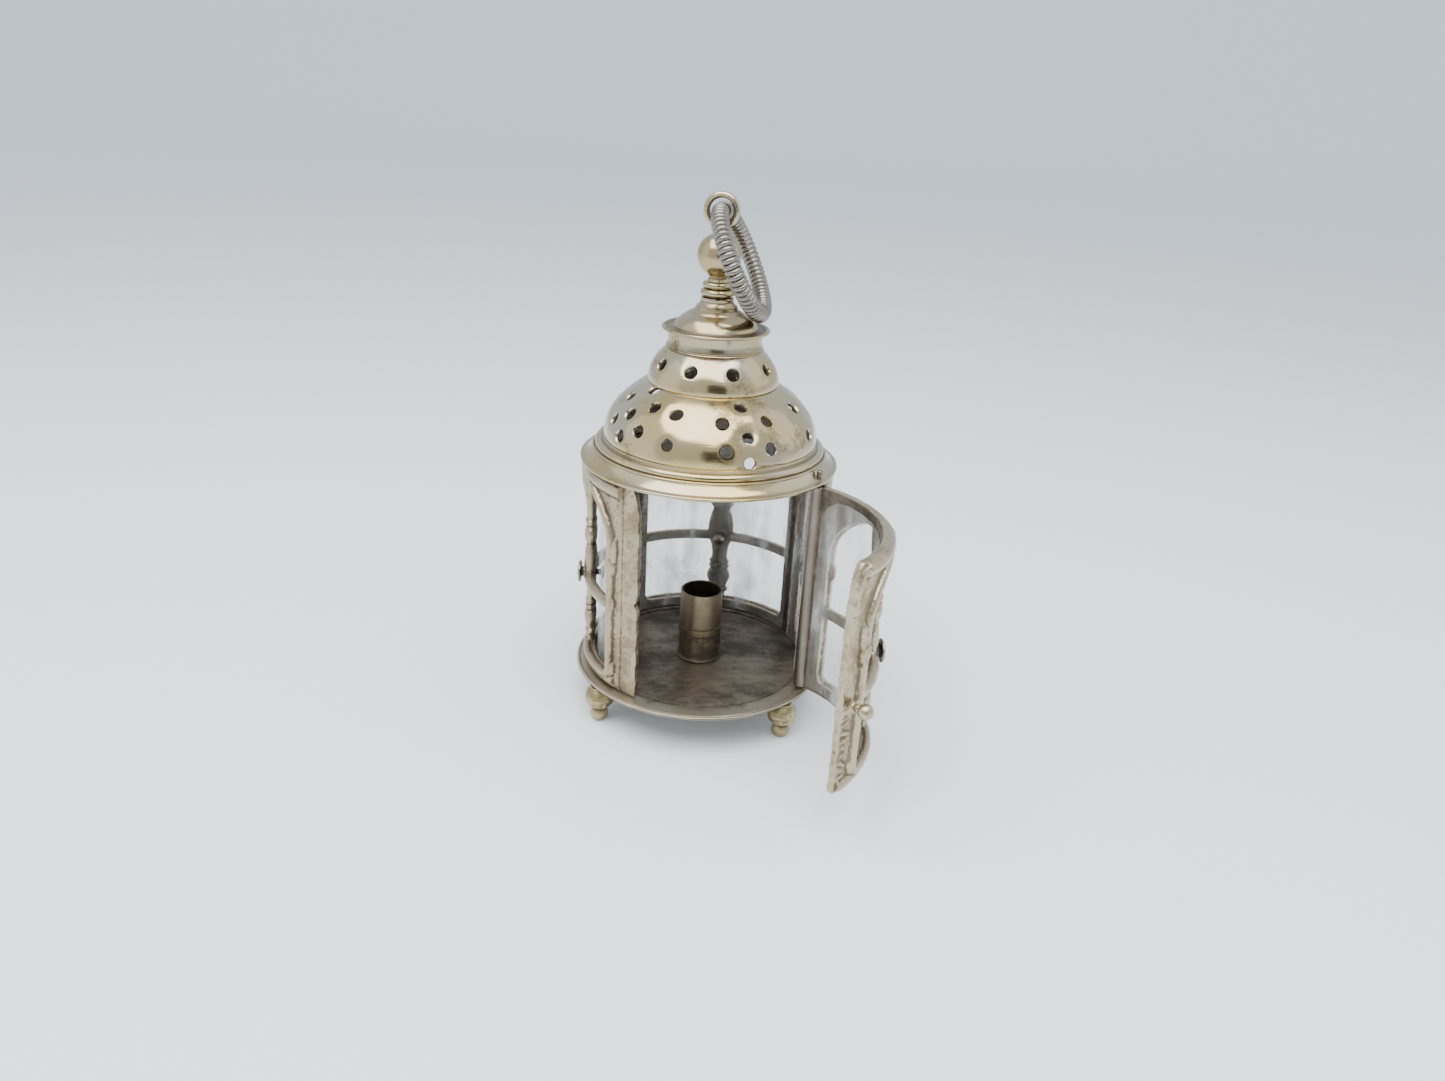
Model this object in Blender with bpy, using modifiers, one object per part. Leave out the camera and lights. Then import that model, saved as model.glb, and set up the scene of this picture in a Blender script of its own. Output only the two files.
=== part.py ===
"""Candle lantern: a miniature silver lantern with a round body of arched windows.

The origin is the centre of the base plate's underside. +Z is up and -Y is the door side.
An azimuth is an angle in degrees round the lantern's axis, counted from -Y towards +X.
The door stands open, and the carrying loop leans on the cap.
"""

from dataclasses import dataclass
from math import acos, asin, ceil, cos, degrees, pi, radians, sin, sqrt

import bmesh
import bpy
from mathutils import Matrix, Vector

MM = 0.001

# Clearances
SEAT_GAP = 0.30 * MM        # between two pieces that touch
PIN_CLEARANCE = 0.20 * MM   # radial, round the hinge pin and the rivets

# Base plate and feet
BASE_RADIUS = 19.0 * MM
BASE_THICKNESS = 0.60 * MM
BASE_PAD_RADIUS = 13.0 * MM         # flat middle of the underside, proud of the rest
BASE_PAD_DEPTH = 0.10 * MM
FOOT_HEIGHT = 5.8 * MM
FOOT_CIRCLE_RADIUS = 17.6 * MM
FOOT_BALL_RADIUS = 2.15 * MM
FOOT_TIP_RADIUS = 1.35 * MM
FOOT_FLAT_RADIUS = 0.75 * MM
FOOT_AZIMUTHS = {
    "foot_front_left": -54.0,
    "foot_front_right": 48.0,
    "foot_back_right": 135.0,
    "foot_back_left": -135.0,
}

# Candle socket
SOCKET_BORE_RADIUS = 2.90 * MM
SOCKET_WALL = 0.33 * MM
SOCKET_HEIGHT = 11.0 * MM
SOCKET_BORE_DEPTH = 9.6 * MM
SOCKET_BEAD = 0.16 * MM

# Window frames and panes
BODY_RADIUS = 17.5 * MM
FRAME_THICKNESS = 1.30 * MM
FRAME_HEIGHT = 31.9 * MM
PANE_THICKNESS = 0.30 * MM
BOTTOM_RAIL_HEIGHT = 1.8 * MM
CROSSBAR_HEIGHT = 13.1 * MM         # above the frame's foot, to the bar's middle
CROSSBAR_WIDTH = 1.70 * MM
TOP_RAIL_HEIGHT = 1.5 * MM
ARCH_RISE = 7.9 * MM
SHOULDER_RISE = 6.6 * MM
SHOULDER_INSET = 1.7 * MM
LOWER_MULLION_WIDTH = 2.9 * MM
UPPER_MULLION_WIDTH = 3.8 * MM
CAPITAL_WIDTH = 5.6 * MM
CAPITAL_LENGTH = 3.6 * MM
LIGHT_CORNER = 1.3 * MM
STILE_WIDTH = 2.3 * MM
PANE_MARGIN = 0.8 * MM

LEFT_FRAME_AZIMUTHS = (-134.5, -30.0)
BACK_FRAME_AZIMUTHS = (120.5, 224.5)
RIGHT_FRAME_END = 119.5
REBATE_AZIMUTH = 10.5
REBATE_DEPTH = 0.60 * MM

# Door, hinge and knob
HINGE_AZIMUTH = 62.5
HINGE_CIRCLE_RADIUS = 17.7 * MM
HINGE_PIN_RADIUS = 0.42 * MM
KNUCKLE_RADIUS = 1.05 * MM
DOOR_FREE_AZIMUTH = -38.0
DOOR_THICKNESS = 1.20 * MM
DOOR_OPEN_ANGLE = 83.5
KNOB_HEIGHT = 12.4 * MM             # above the frame's foot
KNOB_RADIUS = 1.05 * MM
KNOB_STEM_RADIUS = 0.50 * MM
KNOB_STANDOFF = 0.60 * MM

# Button rivets
RIVET_SHANK_RADIUS = 0.45 * MM
RIVET_NECK_RADIUS = 0.95 * MM
RIVET_NECK_LENGTH = 0.70 * MM
RIVET_HEAD_RADIUS = 1.65 * MM
RIVET_HEAD_THICKNESS = 0.55 * MM
RIVET_TAIL_RADIUS = 1.00 * MM
RIVET_TAIL_THICKNESS = 0.35 * MM

# Roof
ROOF_RING_HEIGHT = 0.70 * MM
ROOF_RING_WALL = 0.70 * MM
BRIM_RADIUS = 18.66 * MM
BRIM_BORE_RADIUS = 15.0 * MM
BRIM_EDGE_HEIGHT = 0.45 * MM
BRIM_RISE = 1.75 * MM
BEAD_HEIGHT = 0.85 * MM
LOWER_DOME_RADIUS = 15.4 * MM
LOWER_DOME_TOP_RADIUS = 9.05 * MM
LOWER_DOME_HEIGHT = 7.9 * MM
UPPER_DOME_RADIUS = 9.3 * MM
NECK_RADIUS = 6.80 * MM
UPPER_DOME_HEIGHT = 4.5 * MM
DOME_WALL = 0.60 * MM
NECK_HEIGHT = 2.1 * MM
# Holes are set out by eye, so their azimuths and their shares of the dome's curve are uneven
ROSETTES = ((-54.0, 0.54), (23.0, 0.44), (114.0, 0.48), (206.0, 0.50))
ROSETTE_RADIUS = 3.9 * MM
ROSETTE_HOLE_RADIUS = 0.85 * MM
PAIR_AZIMUTHS = (-21.0, 70.0, 160.0, 256.0)
PAIR_SHARES = (0.28, 0.70)
UPPER_HOLE_AZIMUTHS = (-57.0, -20.0, 20.0, 62.0, 107.0, 152.0, 197.0, 242.0)
UPPER_HOLE_SHARE = 0.58
UPPER_HOLE_RADIUS = 0.80 * MM

# Cap and finial
CAP_FLANGE_RADIUS = 7.60 * MM
CAP_FLANGE_THICKNESS = 0.50 * MM
CAP_DOME_RADIUS = 5.90 * MM
CAP_DOME_HEIGHT = 2.50 * MM
DRUM_RADIUS = 2.90 * MM
DRUM_HEIGHT = 1.35 * MM
COLLAR_RADII = (2.55 * MM, 2.20 * MM)
COLLAR_HEIGHT = 0.62 * MM
COLLAR_SPACING = 1.05 * MM
STEM_WAIST_RADIUS = 1.45 * MM
KNOP_RADIUS = 3.05 * MM
KNOP_DROP = 0.80 * MM               # from the last collar to the knop's neck

# Eye and carrying loop
EYE_RADIUS = 2.05 * MM
EYE_WIRE_RADIUS = 0.45 * MM
EYE_TURN = 8.0
LOOP_RADIUS = 7.30 * MM
LOOP_CORE_RADIUS = 0.75 * MM
LOOP_WINDING_RADIUS = 1.26 * MM
LOOP_WINDING_GAP = 14.2
LOOP_REST_LIFT = 0.85 * MM           # the cap's dome holds the loop this far off the flange

# Fineness of the curved surfaces
TURN_STEPS = 36
SMALL_TURN_STEPS = 12
BEND_STEP_AZIMUTH = 10.0
HOLE_SIDES = 6

# Heights that follow from the sizes above
BASE_TOP = BASE_THICKNESS
FRAME_FOOT = BASE_TOP + SEAT_GAP
FRAME_TOP = FRAME_FOOT + FRAME_HEIGHT
BRIM_FOOT = FRAME_TOP + SEAT_GAP
BRIM_SHOULDER = BRIM_FOOT + BRIM_EDGE_HEIGHT + BRIM_RISE
BRIM_TOP = BRIM_SHOULDER + BEAD_HEIGHT
LOWER_DOME_FOOT = BRIM_TOP + SEAT_GAP
LOWER_DOME_TOP = LOWER_DOME_FOOT + LOWER_DOME_HEIGHT
UPPER_DOME_FOOT = LOWER_DOME_TOP + SEAT_GAP
UPPER_DOME_TOP = UPPER_DOME_FOOT + UPPER_DOME_HEIGHT
NECK_FOOT = UPPER_DOME_TOP + SEAT_GAP
NECK_TOP = NECK_FOOT + NECK_HEIGHT
CAP_FOOT = NECK_TOP + SEAT_GAP
CAP_TOP = CAP_FOOT + CAP_FLANGE_THICKNESS + CAP_DOME_HEIGHT
STEM_FOOT = CAP_TOP + SEAT_GAP
STEM_COLLARS_TOP = STEM_FOOT + DRUM_HEIGHT + COLLAR_SPACING * len(COLLAR_RADII)
KNOP_CENTRE = STEM_COLLARS_TOP + KNOP_DROP + sqrt(KNOP_RADIUS**2 - STEM_WAIST_RADIUS**2)
EYE_CENTRE = KNOP_CENTRE + KNOP_RADIUS + SEAT_GAP + EYE_RADIUS + EYE_WIRE_RADIUS

# The loop leans until its lowest strand lies on the cap's flange
LOOP_REST_HEIGHT = CAP_FOOT + CAP_FLANGE_THICKNESS + SEAT_GAP + LOOP_WINDING_RADIUS + LOOP_REST_LIFT
LOOP_LEAN = degrees(acos(min((EYE_CENTRE - LOOP_REST_HEIGHT) / (2 * LOOP_RADIUS), 1.0)))

# Radii and azimuths that follow from the sizes above
ARCH_CROWN_HEIGHT = FRAME_HEIGHT - TOP_RAIL_HEIGHT
ARCH_SPRING_HEIGHT = ARCH_CROWN_HEIGHT - ARCH_RISE
SHOULDER_HEIGHT = FRAME_HEIGHT - SHOULDER_RISE
FRAME_INNER_RADIUS = BODY_RADIUS - FRAME_THICKNESS
PANE_RADIUS = FRAME_INNER_RADIUS - SEAT_GAP
REBATE_RADIUS = BODY_RADIUS - REBATE_DEPTH
DOOR_INNER_RADIUS = REBATE_RADIUS + SEAT_GAP
DOOR_OUTER_RADIUS = DOOR_INNER_RADIUS + DOOR_THICKNESS
DOOR_PANE_RADIUS = DOOR_INNER_RADIUS - SEAT_GAP
KNUCKLE_AZIMUTH = degrees(2 * asin(KNUCKLE_RADIUS / (2 * HINGE_CIRCLE_RADIUS)))
SEAT_AZIMUTH = degrees(SEAT_GAP / BODY_RADIUS)
RIGHT_FRAME_START = HINGE_AZIMUTH + KNUCKLE_AZIMUTH + 2 * SEAT_AZIMUTH
PIN_HOLE_RADIUS = HINGE_PIN_RADIUS + PIN_CLEARANCE
RIVET_HOLE_RADIUS = RIVET_SHANK_RADIUS + PIN_CLEARANCE


@dataclass(frozen=True)
class Panel:
    """One bent window frame: where it stands and how its sides are made."""

    start: float
    end: float
    inner_radius: float
    thickness: float
    start_margin: float = 0.0
    end_margin: float = 0.0
    start_shoulder: float = SHOULDER_INSET
    end_shoulder: float = SHOULDER_INSET

    @property
    def middle(self):
        return (self.start + self.end) / 2

    @property
    def bend_radius(self):
        return self.inner_radius + self.thickness / 2

    @property
    def mullion(self):
        """Azimuth of the mullion, midway between the two rows of lights."""
        return (self.start + self.start_margin + self.end - self.end_margin) / 2

    def azimuth_of(self, length):
        return degrees(length / self.bend_radius)

    def flat(self, azimuth):
        """Distance along the unrolled frame from its middle."""
        return radians(azimuth - self.middle) * self.bend_radius


LEFT_PANEL = Panel(*LEFT_FRAME_AZIMUTHS, FRAME_INNER_RADIUS, FRAME_THICKNESS, end_margin=REBATE_AZIMUTH)
BACK_PANEL = Panel(*BACK_FRAME_AZIMUTHS, FRAME_INNER_RADIUS, FRAME_THICKNESS)
RIGHT_PANEL = Panel(RIGHT_FRAME_START, RIGHT_FRAME_END, FRAME_INNER_RADIUS, FRAME_THICKNESS)
DOOR_PANEL = Panel(
    DOOR_FREE_AZIMUTH,
    HINGE_AZIMUTH - KNUCKLE_AZIMUTH / 2,
    DOOR_INNER_RADIUS,
    DOOR_THICKNESS,
    start_margin=REBATE_AZIMUTH - 5.0,
    end_margin=1.0,
    end_shoulder=0.0,
)


def clear_scene():
    for obj in list(bpy.data.objects):
        bpy.data.objects.remove(obj, do_unlink=True)


def new_collection(name):
    collection = bpy.data.collections.new(name)
    bpy.context.scene.collection.children.link(collection)
    return collection


def new_material(name, colour, roughness, metallic, alpha=1.0):
    material = bpy.data.materials.new(name)
    material.use_nodes = True
    shader = material.node_tree.nodes["Principled BSDF"]
    shader.inputs["Base Color"].default_value = (*colour, 1.0)
    shader.inputs["Roughness"].default_value = roughness
    shader.inputs["Metallic"].default_value = metallic
    shader.inputs["Alpha"].default_value = alpha
    return material


def polar(radius, azimuth, height):
    turn = radians(azimuth)
    return Vector((radius * sin(turn), -radius * cos(turn), height))


def add_object(name, data, collection, material=None):
    obj = bpy.data.objects.new(name, data)
    collection.objects.link(obj)
    if material is not None:
        data.materials.append(material)
    return obj


def as_cutter(obj):
    obj.hide_render = True
    obj.display_type = "WIRE"
    return obj


def shade_round(mesh):
    mesh.shade_smooth()
    mesh.set_sharp_from_angle(angle=radians(35))


def add_turned(name, profile, collection, material, closed=False, steps=TURN_STEPS):
    """Turns a profile of (radius, height) points, listed down its outer side, about Z."""
    mesh = bpy.data.meshes.new(name)
    points = [(radius, 0.0, height) for radius, height in profile]
    edges = [(index, index + 1) for index in range(len(points) - 1)]
    if closed:
        edges.append((len(points) - 1, 0))
    mesh.from_pydata(points, edges, [])
    obj = add_object(name, mesh, collection, material)
    screw = obj.modifiers.new("turn", "SCREW")
    screw.axis = "Z"
    screw.angle = 2 * pi
    screw.steps = steps
    screw.render_steps = steps
    screw.use_merge_vertices = True
    screw.merge_threshold = 0.00001
    return obj


def add_boolean(obj, cutter, operation="DIFFERENCE"):
    boolean = obj.modifiers.new(cutter.name, "BOOLEAN")
    boolean.operation = operation
    boolean.solver = "EXACT"
    boolean.object = cutter
    return boolean


def add_cylinder_mesh(name, radius, length, collection, sides, material=None):
    """A cylinder that starts at the object's origin and runs along +Z."""
    mesh = bpy.data.meshes.new(name)
    shape = bmesh.new()
    bmesh.ops.create_cone(
        shape,
        cap_ends=True,
        segments=sides,
        radius1=radius,
        radius2=radius,
        depth=length,
        matrix=Matrix.Translation((0, 0, length / 2)),
    )
    shape.to_mesh(mesh)
    shape.free()
    shade_round(mesh)
    return add_object(name, mesh, collection, material)


def arc(centre, radius, start, end, steps):
    """Points of a circle in a (radius, height) profile, from one angle to another."""
    turns = [radians(start + (end - start) * step / steps) for step in range(steps + 1)]
    return [(centre[0] + radius * cos(turn), centre[1] + radius * sin(turn)) for turn in turns]


def make_base_plate(collection, cutters, material):
    edge = (BASE_THICKNESS - BASE_PAD_DEPTH) / 2
    rim = arc((BASE_RADIUS - edge, BASE_TOP - edge), edge, 90, -90, 4)
    pad = [(BASE_PAD_RADIUS + BASE_PAD_DEPTH, BASE_PAD_DEPTH), (BASE_PAD_RADIUS, 0), (0, 0)]
    base = add_turned("base_plate", [(0, BASE_TOP), *rim, *pad], collection, material)
    depth = 3 * BASE_THICKNESS
    hole = add_cylinder_mesh("pin_hole_in_base", PIN_HOLE_RADIUS, depth, cutters, SMALL_TURN_STEPS)
    hole.location = polar(HINGE_CIRCLE_RADIUS, HINGE_AZIMUTH, -BASE_THICKNESS)
    add_boolean(base, as_cutter(hole))
    return base


def make_feet(collection, material):
    tip_centre = sqrt(FOOT_TIP_RADIUS**2 - FOOT_FLAT_RADIUS**2)
    ball_centre = FOOT_HEIGHT - 0.86 * FOOT_BALL_RADIUS
    top = FOOT_HEIGHT + BASE_PAD_DEPTH - SEAT_GAP
    top_angle = degrees(asin((top - ball_centre) / FOOT_BALL_RADIUS))
    span = ball_centre - tip_centre
    joint = (FOOT_BALL_RADIUS**2 - FOOT_TIP_RADIUS**2 + span**2) / (2 * span)
    ball_end = -degrees(asin(joint / FOOT_BALL_RADIUS)) + 6
    tip_start = degrees(asin((span - joint) / FOOT_TIP_RADIUS)) - 8
    flat_angle = -degrees(acos(FOOT_FLAT_RADIUS / FOOT_TIP_RADIUS))
    ball = arc((0, ball_centre), FOOT_BALL_RADIUS, top_angle, ball_end, 7)
    tip = arc((0, tip_centre), FOOT_TIP_RADIUS, tip_start, flat_angle, 5)
    profile = [(0, top), *ball, *tip, (0, 0)]
    for name, azimuth in FOOT_AZIMUTHS.items():
        foot = add_turned(name, profile, collection, material, steps=SMALL_TURN_STEPS)
        foot.location = polar(FOOT_CIRCLE_RADIUS, azimuth, -FOOT_HEIGHT)


def make_socket(collection, material):
    foot = BASE_TOP + SEAT_GAP
    top = foot + SOCKET_HEIGHT
    floor = top - SOCKET_BORE_DEPTH
    wall = SOCKET_BORE_RADIUS + SOCKET_WALL
    band = wall + SOCKET_BEAD
    band_top = foot + 0.42 * SOCKET_HEIGHT
    band_foot = foot + 0.30 * SOCKET_HEIGHT
    profile = [
        (0, floor),
        (SOCKET_BORE_RADIUS, floor),
        (SOCKET_BORE_RADIUS, top),
        (wall, top),
        (wall, band_top),
        (band, band_top - SOCKET_BEAD),
        (band, band_foot + SOCKET_BEAD),
        (wall, band_foot),
        (wall, foot),
        (0, foot),
    ]
    return add_turned("candle_socket", profile, collection, material, steps=24)


def rounded(points, radius, steps=3):
    """Rounds the marked corners of an outline given as (x, y, is_round) points."""
    outline = []
    count = len(points)
    for index, (x, y, is_round) in enumerate(points):
        if not is_round:
            outline.append((x, y))
            continue
        corner = Vector((x, y))
        before = Vector(points[index - 1][:2]) - corner
        after = Vector(points[(index + 1) % count][:2]) - corner
        start = corner + before.normalized() * radius
        end = corner + after.normalized() * radius
        for step in range(steps + 1):
            share = step / steps
            point = start * (1 - share) ** 2 + corner * 2 * share * (1 - share) + end * share**2
            outline.append((point.x, point.y))
    return outline


def frame_outline(panel):
    """The unrolled outer edge of a window frame, with its rounded shoulders."""
    left = panel.flat(panel.start)
    right = panel.flat(panel.end)
    steps = 4
    outline = [(left, 0.0), (right, 0.0)]
    for step in range(steps + 1):
        turn = radians(90) * step / steps
        height = SHOULDER_HEIGHT + SHOULDER_RISE * sin(turn)
        outline.append((right - panel.end_shoulder * (1 - cos(turn)), height))
    for step in range(steps, -1, -1):
        turn = radians(90) * step / steps
        height = SHOULDER_HEIGHT + SHOULDER_RISE * sin(turn)
        outline.append((left + panel.start_shoulder * (1 - cos(turn)), height))
    return without_doubles(outline)


def without_doubles(outline):
    """Drops a point that lies on the one before it."""
    kept = []
    for point in outline:
        if not kept or (Vector(point) - Vector(kept[-1])).length > 0.01 * MM:
            kept.append(point)
    if (Vector(kept[0]) - Vector(kept[-1])).length < 0.01 * MM:
        kept.pop()
    return kept


def light_outlines(panel):
    """The unrolled outlines of a frame's four lights, two under and two over the crossbar."""
    mullion = panel.flat(panel.mullion)
    near = panel.flat(panel.start + panel.start_margin) + STILE_WIDTH
    far = panel.flat(panel.end - panel.end_margin) - STILE_WIDTH
    half_span = (far - near) / 2
    bar_foot = CROSSBAR_HEIGHT - CROSSBAR_WIDTH / 2
    bar_top = CROSSBAR_HEIGHT + CROSSBAR_WIDTH / 2
    capital_top = ARCH_CROWN_HEIGHT - 0.25 * ARCH_RISE
    outlines = []
    for side in (-1, 1):
        stile = half_span
        lower = LOWER_MULLION_WIDTH / 2
        corners = [
            (lower, BOTTOM_RAIL_HEIGHT, True),
            (stile, BOTTOM_RAIL_HEIGHT, True),
            (stile, bar_foot, True),
            (lower, bar_foot, True),
        ]
        outlines.append([(mullion + side * x, y) for x, y in rounded(corners, LIGHT_CORNER)])
        capital = min(CAPITAL_WIDTH / 2, 0.6 * stile)
        upper = min(UPPER_MULLION_WIDTH / 2, capital)
        end_turn = acos(capital / stile)
        arch = []
        steps = 7
        for step in range(steps + 1):
            turn = end_turn * step / steps
            arch.append((stile * cos(turn), ARCH_SPRING_HEIGHT + ARCH_RISE * sin(turn)))
        neck = min(capital_top, arch[-1][1]) - CAPITAL_LENGTH
        foot = rounded([(upper, neck, False), (upper, bar_top, True), (stile, bar_top, True)], LIGHT_CORNER)
        outlines.append([(mullion + side * x, y) for x, y in foot + arch])
    return outlines


def bend_outlines(name, outlines, panel, foot, collection, material, cuts=(), radial_limit=None):
    """Fills flat outlines, gives them the panel's thickness and wraps them round the body."""
    curve = bpy.data.curves.new(name + "_outline", "CURVE")
    curve.dimensions = "2D"
    curve.fill_mode = "BOTH"
    curve.extrude = panel.thickness / 2
    for outline in outlines:
        spline = curve.splines.new("POLY")
        spline.points.add(len(outline) - 1)
        for point, (x, y) in zip(spline.points, outline):
            point.co = (x, y, 0.0, 1.0)
        spline.use_cyclic_u = True
    flat = bpy.data.objects.new(name + "_outline", curve)
    collection.objects.link(flat)
    bpy.context.view_layer.update()
    evaluated = flat.evaluated_get(bpy.context.evaluated_depsgraph_get())
    mesh = bpy.data.meshes.new_from_object(evaluated)
    bpy.data.objects.remove(flat)
    bpy.data.curves.remove(curve)

    shape = bmesh.new()
    shape.from_mesh(mesh)
    bmesh.ops.remove_doubles(shape, verts=shape.verts, dist=0.001 * MM)
    count = ceil((panel.end - panel.start) / BEND_STEP_AZIMUTH)
    azimuths = [panel.start + (panel.end - panel.start) * step / count for step in range(1, count)]
    for azimuth in sorted([*azimuths, *cuts]):
        bmesh.ops.bisect_plane(
            shape,
            geom=[*shape.verts, *shape.edges, *shape.faces],
            dist=0.001 * MM,
            plane_co=(panel.flat(azimuth), 0, 0),
            plane_no=(1, 0, 0),
        )
    for vertex in shape.verts:
        azimuth = panel.middle + degrees(vertex.co.x / panel.bend_radius)
        radius = panel.bend_radius + vertex.co.z
        if radial_limit is not None:
            radius = min(radius, radial_limit(azimuth))
        vertex.co = polar(radius, azimuth, foot + vertex.co.y)
    bmesh.ops.triangulate(shape, faces=shape.faces)
    shape.to_mesh(mesh)
    shape.free()
    mesh.name = name
    mesh.materials.clear()
    shade_round(mesh)
    return add_object(name, mesh, collection, material)


def rivet_hole(panel, height):
    """The unrolled outline of the rivet's hole through a frame or a pane."""
    centre = panel.flat(panel.mullion)
    turns = [2 * pi * (side + 0.5) / 12 for side in range(12)]
    radius = RIVET_HOLE_RADIUS
    return [(centre + radius * cos(turn), height + radius * sin(turn)) for turn in turns]


def make_frame(name, panel, collection, material, rebate_end=None):
    """A window frame with four lights. Its rebate is a thinner band that the door laps."""
    outlines = [frame_outline(panel), *light_outlines(panel), rivet_hole(panel, CROSSBAR_HEIGHT)]
    if rebate_end is None:
        return bend_outlines(name, outlines, panel, FRAME_FOOT, collection, material)
    step = rebate_end - REBATE_AZIMUTH
    cuts = (step - SEAT_AZIMUTH, step)

    def limit(azimuth):
        return REBATE_RADIUS if azimuth > step - 0.01 else BODY_RADIUS + MM

    return bend_outlines(name, outlines, panel, FRAME_FOOT, collection, material, cuts, limit)


def make_pane(name, panel, outer_radius, collection, material):
    """The thin clear sheet behind a frame. It covers the lights and stops under the roof ring."""
    sheet = Panel(
        panel.start + panel.start_margin + panel.azimuth_of(PANE_MARGIN),
        panel.end - panel.end_margin - panel.azimuth_of(PANE_MARGIN),
        outer_radius - PANE_THICKNESS,
        PANE_THICKNESS,
    )
    left = sheet.flat(sheet.start)
    right = sheet.flat(sheet.end)
    foot = PANE_MARGIN
    top = FRAME_HEIGHT - ROOF_RING_HEIGHT - SEAT_GAP
    corner = min(4.5 * MM, (right - left) / 3)
    points = [(left, foot, False), (right, foot, False), (right, top, True), (left, top, True)]
    outlines = [rounded(points, corner, steps=4), rivet_hole(sheet, CROSSBAR_HEIGHT)]
    return bend_outlines(name, outlines, sheet, FRAME_FOOT, collection, material)


def make_rivet(name, azimuth, frame_outer_radius, pane_inner_radius, collection, material):
    """A button rivet. Its shank passes through the frame and the pane, and its tail holds the pane."""
    neck_foot = frame_outer_radius + SEAT_GAP
    head_foot = neck_foot + RIVET_NECK_LENGTH
    head_top = head_foot + RIVET_HEAD_THICKNESS
    tail_top = pane_inner_radius - SEAT_GAP
    tail_foot = tail_top - RIVET_TAIL_THICKNESS
    profile = [
        (0, head_top),
        (0.7 * RIVET_HEAD_RADIUS, head_top - 0.15 * RIVET_HEAD_THICKNESS),
        (RIVET_HEAD_RADIUS, head_top - 0.5 * RIVET_HEAD_THICKNESS),
        (0.94 * RIVET_HEAD_RADIUS, head_foot),
        (RIVET_NECK_RADIUS, head_foot),
        (RIVET_NECK_RADIUS, neck_foot),
        (RIVET_SHANK_RADIUS, neck_foot),
        (RIVET_SHANK_RADIUS, tail_top),
        (RIVET_TAIL_RADIUS, tail_top),
        (RIVET_TAIL_RADIUS, tail_foot),
        (0, tail_foot),
    ]
    rivet = add_turned(name, profile, collection, material, steps=12)
    rivet.location = (0, 0, FRAME_FOOT + CROSSBAR_HEIGHT)
    rivet.rotation_euler = (radians(90), 0, radians(azimuth))
    return rivet


def make_roof_ring(collection, material):
    inner = PANE_RADIUS - ROOF_RING_WALL
    foot = FRAME_TOP - ROOF_RING_HEIGHT
    profile = [(inner, FRAME_TOP), (PANE_RADIUS, FRAME_TOP), (PANE_RADIUS, foot), (inner, foot)]
    return add_turned("roof_ring", profile, collection, material, closed=True)


def make_brim(collection, cutters, material):
    edge_top = BRIM_FOOT + BRIM_EDGE_HEIGHT
    bead_radius = BEAD_HEIGHT * 0.62
    bead_centre = (LOWER_DOME_RADIUS + bead_radius, BRIM_SHOULDER + BEAD_HEIGHT - bead_radius)
    profile = [
        (BRIM_BORE_RADIUS, BRIM_TOP),
        *arc(bead_centre, bead_radius, 90, -25, 4),
        (bead_centre[0] + bead_radius, BRIM_SHOULDER),
        (BRIM_RADIUS - 0.10 * MM, edge_top),
        (BRIM_RADIUS, BRIM_FOOT + 0.5 * BRIM_EDGE_HEIGHT),
        (BRIM_RADIUS - 0.25 * MM, BRIM_FOOT),
        (BRIM_BORE_RADIUS, BRIM_FOOT),
    ]
    brim = add_turned("roof_brim", profile, collection, material, closed=True)
    depth = BRIM_TOP - BRIM_FOOT + MM
    hole = add_cylinder_mesh("pin_hole_in_brim", PIN_HOLE_RADIUS, depth, cutters, SMALL_TURN_STEPS)
    hole.location = polar(HINGE_CIRCLE_RADIUS, HINGE_AZIMUTH, BRIM_FOOT - 0.3 * MM)
    add_boolean(brim, as_cutter(hole))
    return brim


@dataclass(frozen=True)
class Dome:
    """An elliptical dome whose widest circle is at its foot."""

    foot_radius: float
    top_radius: float
    foot: float
    height: float

    @property
    def last_turn(self):
        return acos(self.top_radius / self.foot_radius)

    @property
    def half_height(self):
        return self.height / sin(self.last_turn)

    def profile(self, steps):
        """The outer side as (radius, height) points, top to bottom."""
        turns = [self.last_turn * (steps - step) / steps for step in range(steps + 1)]
        return [(self.foot_radius * cos(turn), self.foot + self.half_height * sin(turn)) for turn in turns]

    def spot(self, azimuth, share):
        """The point at a share of the way up the dome's curve."""
        turn = self.last_turn * share
        return polar(self.foot_radius * cos(turn), azimuth, self.foot + self.half_height * sin(turn))

    def drop_onto(self, point):
        """The surface point at another point's azimuth and height."""
        level = min(max((point.z - self.foot) / self.half_height, 0.0), 0.99)
        way = Vector((point.x, point.y, 0)).normalized()
        spot = way * self.foot_radius * sqrt(1 - level**2)
        spot.z = self.foot + self.half_height * level
        return spot

    def normal(self, spot):
        flat = Vector((spot.x, spot.y, 0)) / self.foot_radius**2
        return (flat + Vector((0, 0, (spot.z - self.foot) / self.half_height**2))).normalized()


LOWER_DOME = Dome(LOWER_DOME_RADIUS, LOWER_DOME_TOP_RADIUS, LOWER_DOME_FOOT, LOWER_DOME_HEIGHT)
UPPER_DOME = Dome(UPPER_DOME_RADIUS, NECK_RADIUS, UPPER_DOME_FOOT, UPPER_DOME_HEIGHT)


def add_shell(name, profile, collection, material):
    shell = add_turned(name, profile, collection, material)
    wall = shell.modifiers.new("wall", "SOLIDIFY")
    wall.thickness = DOME_WALL
    wall.offset = -1
    wall.use_even_offset = True
    return shell


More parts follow.
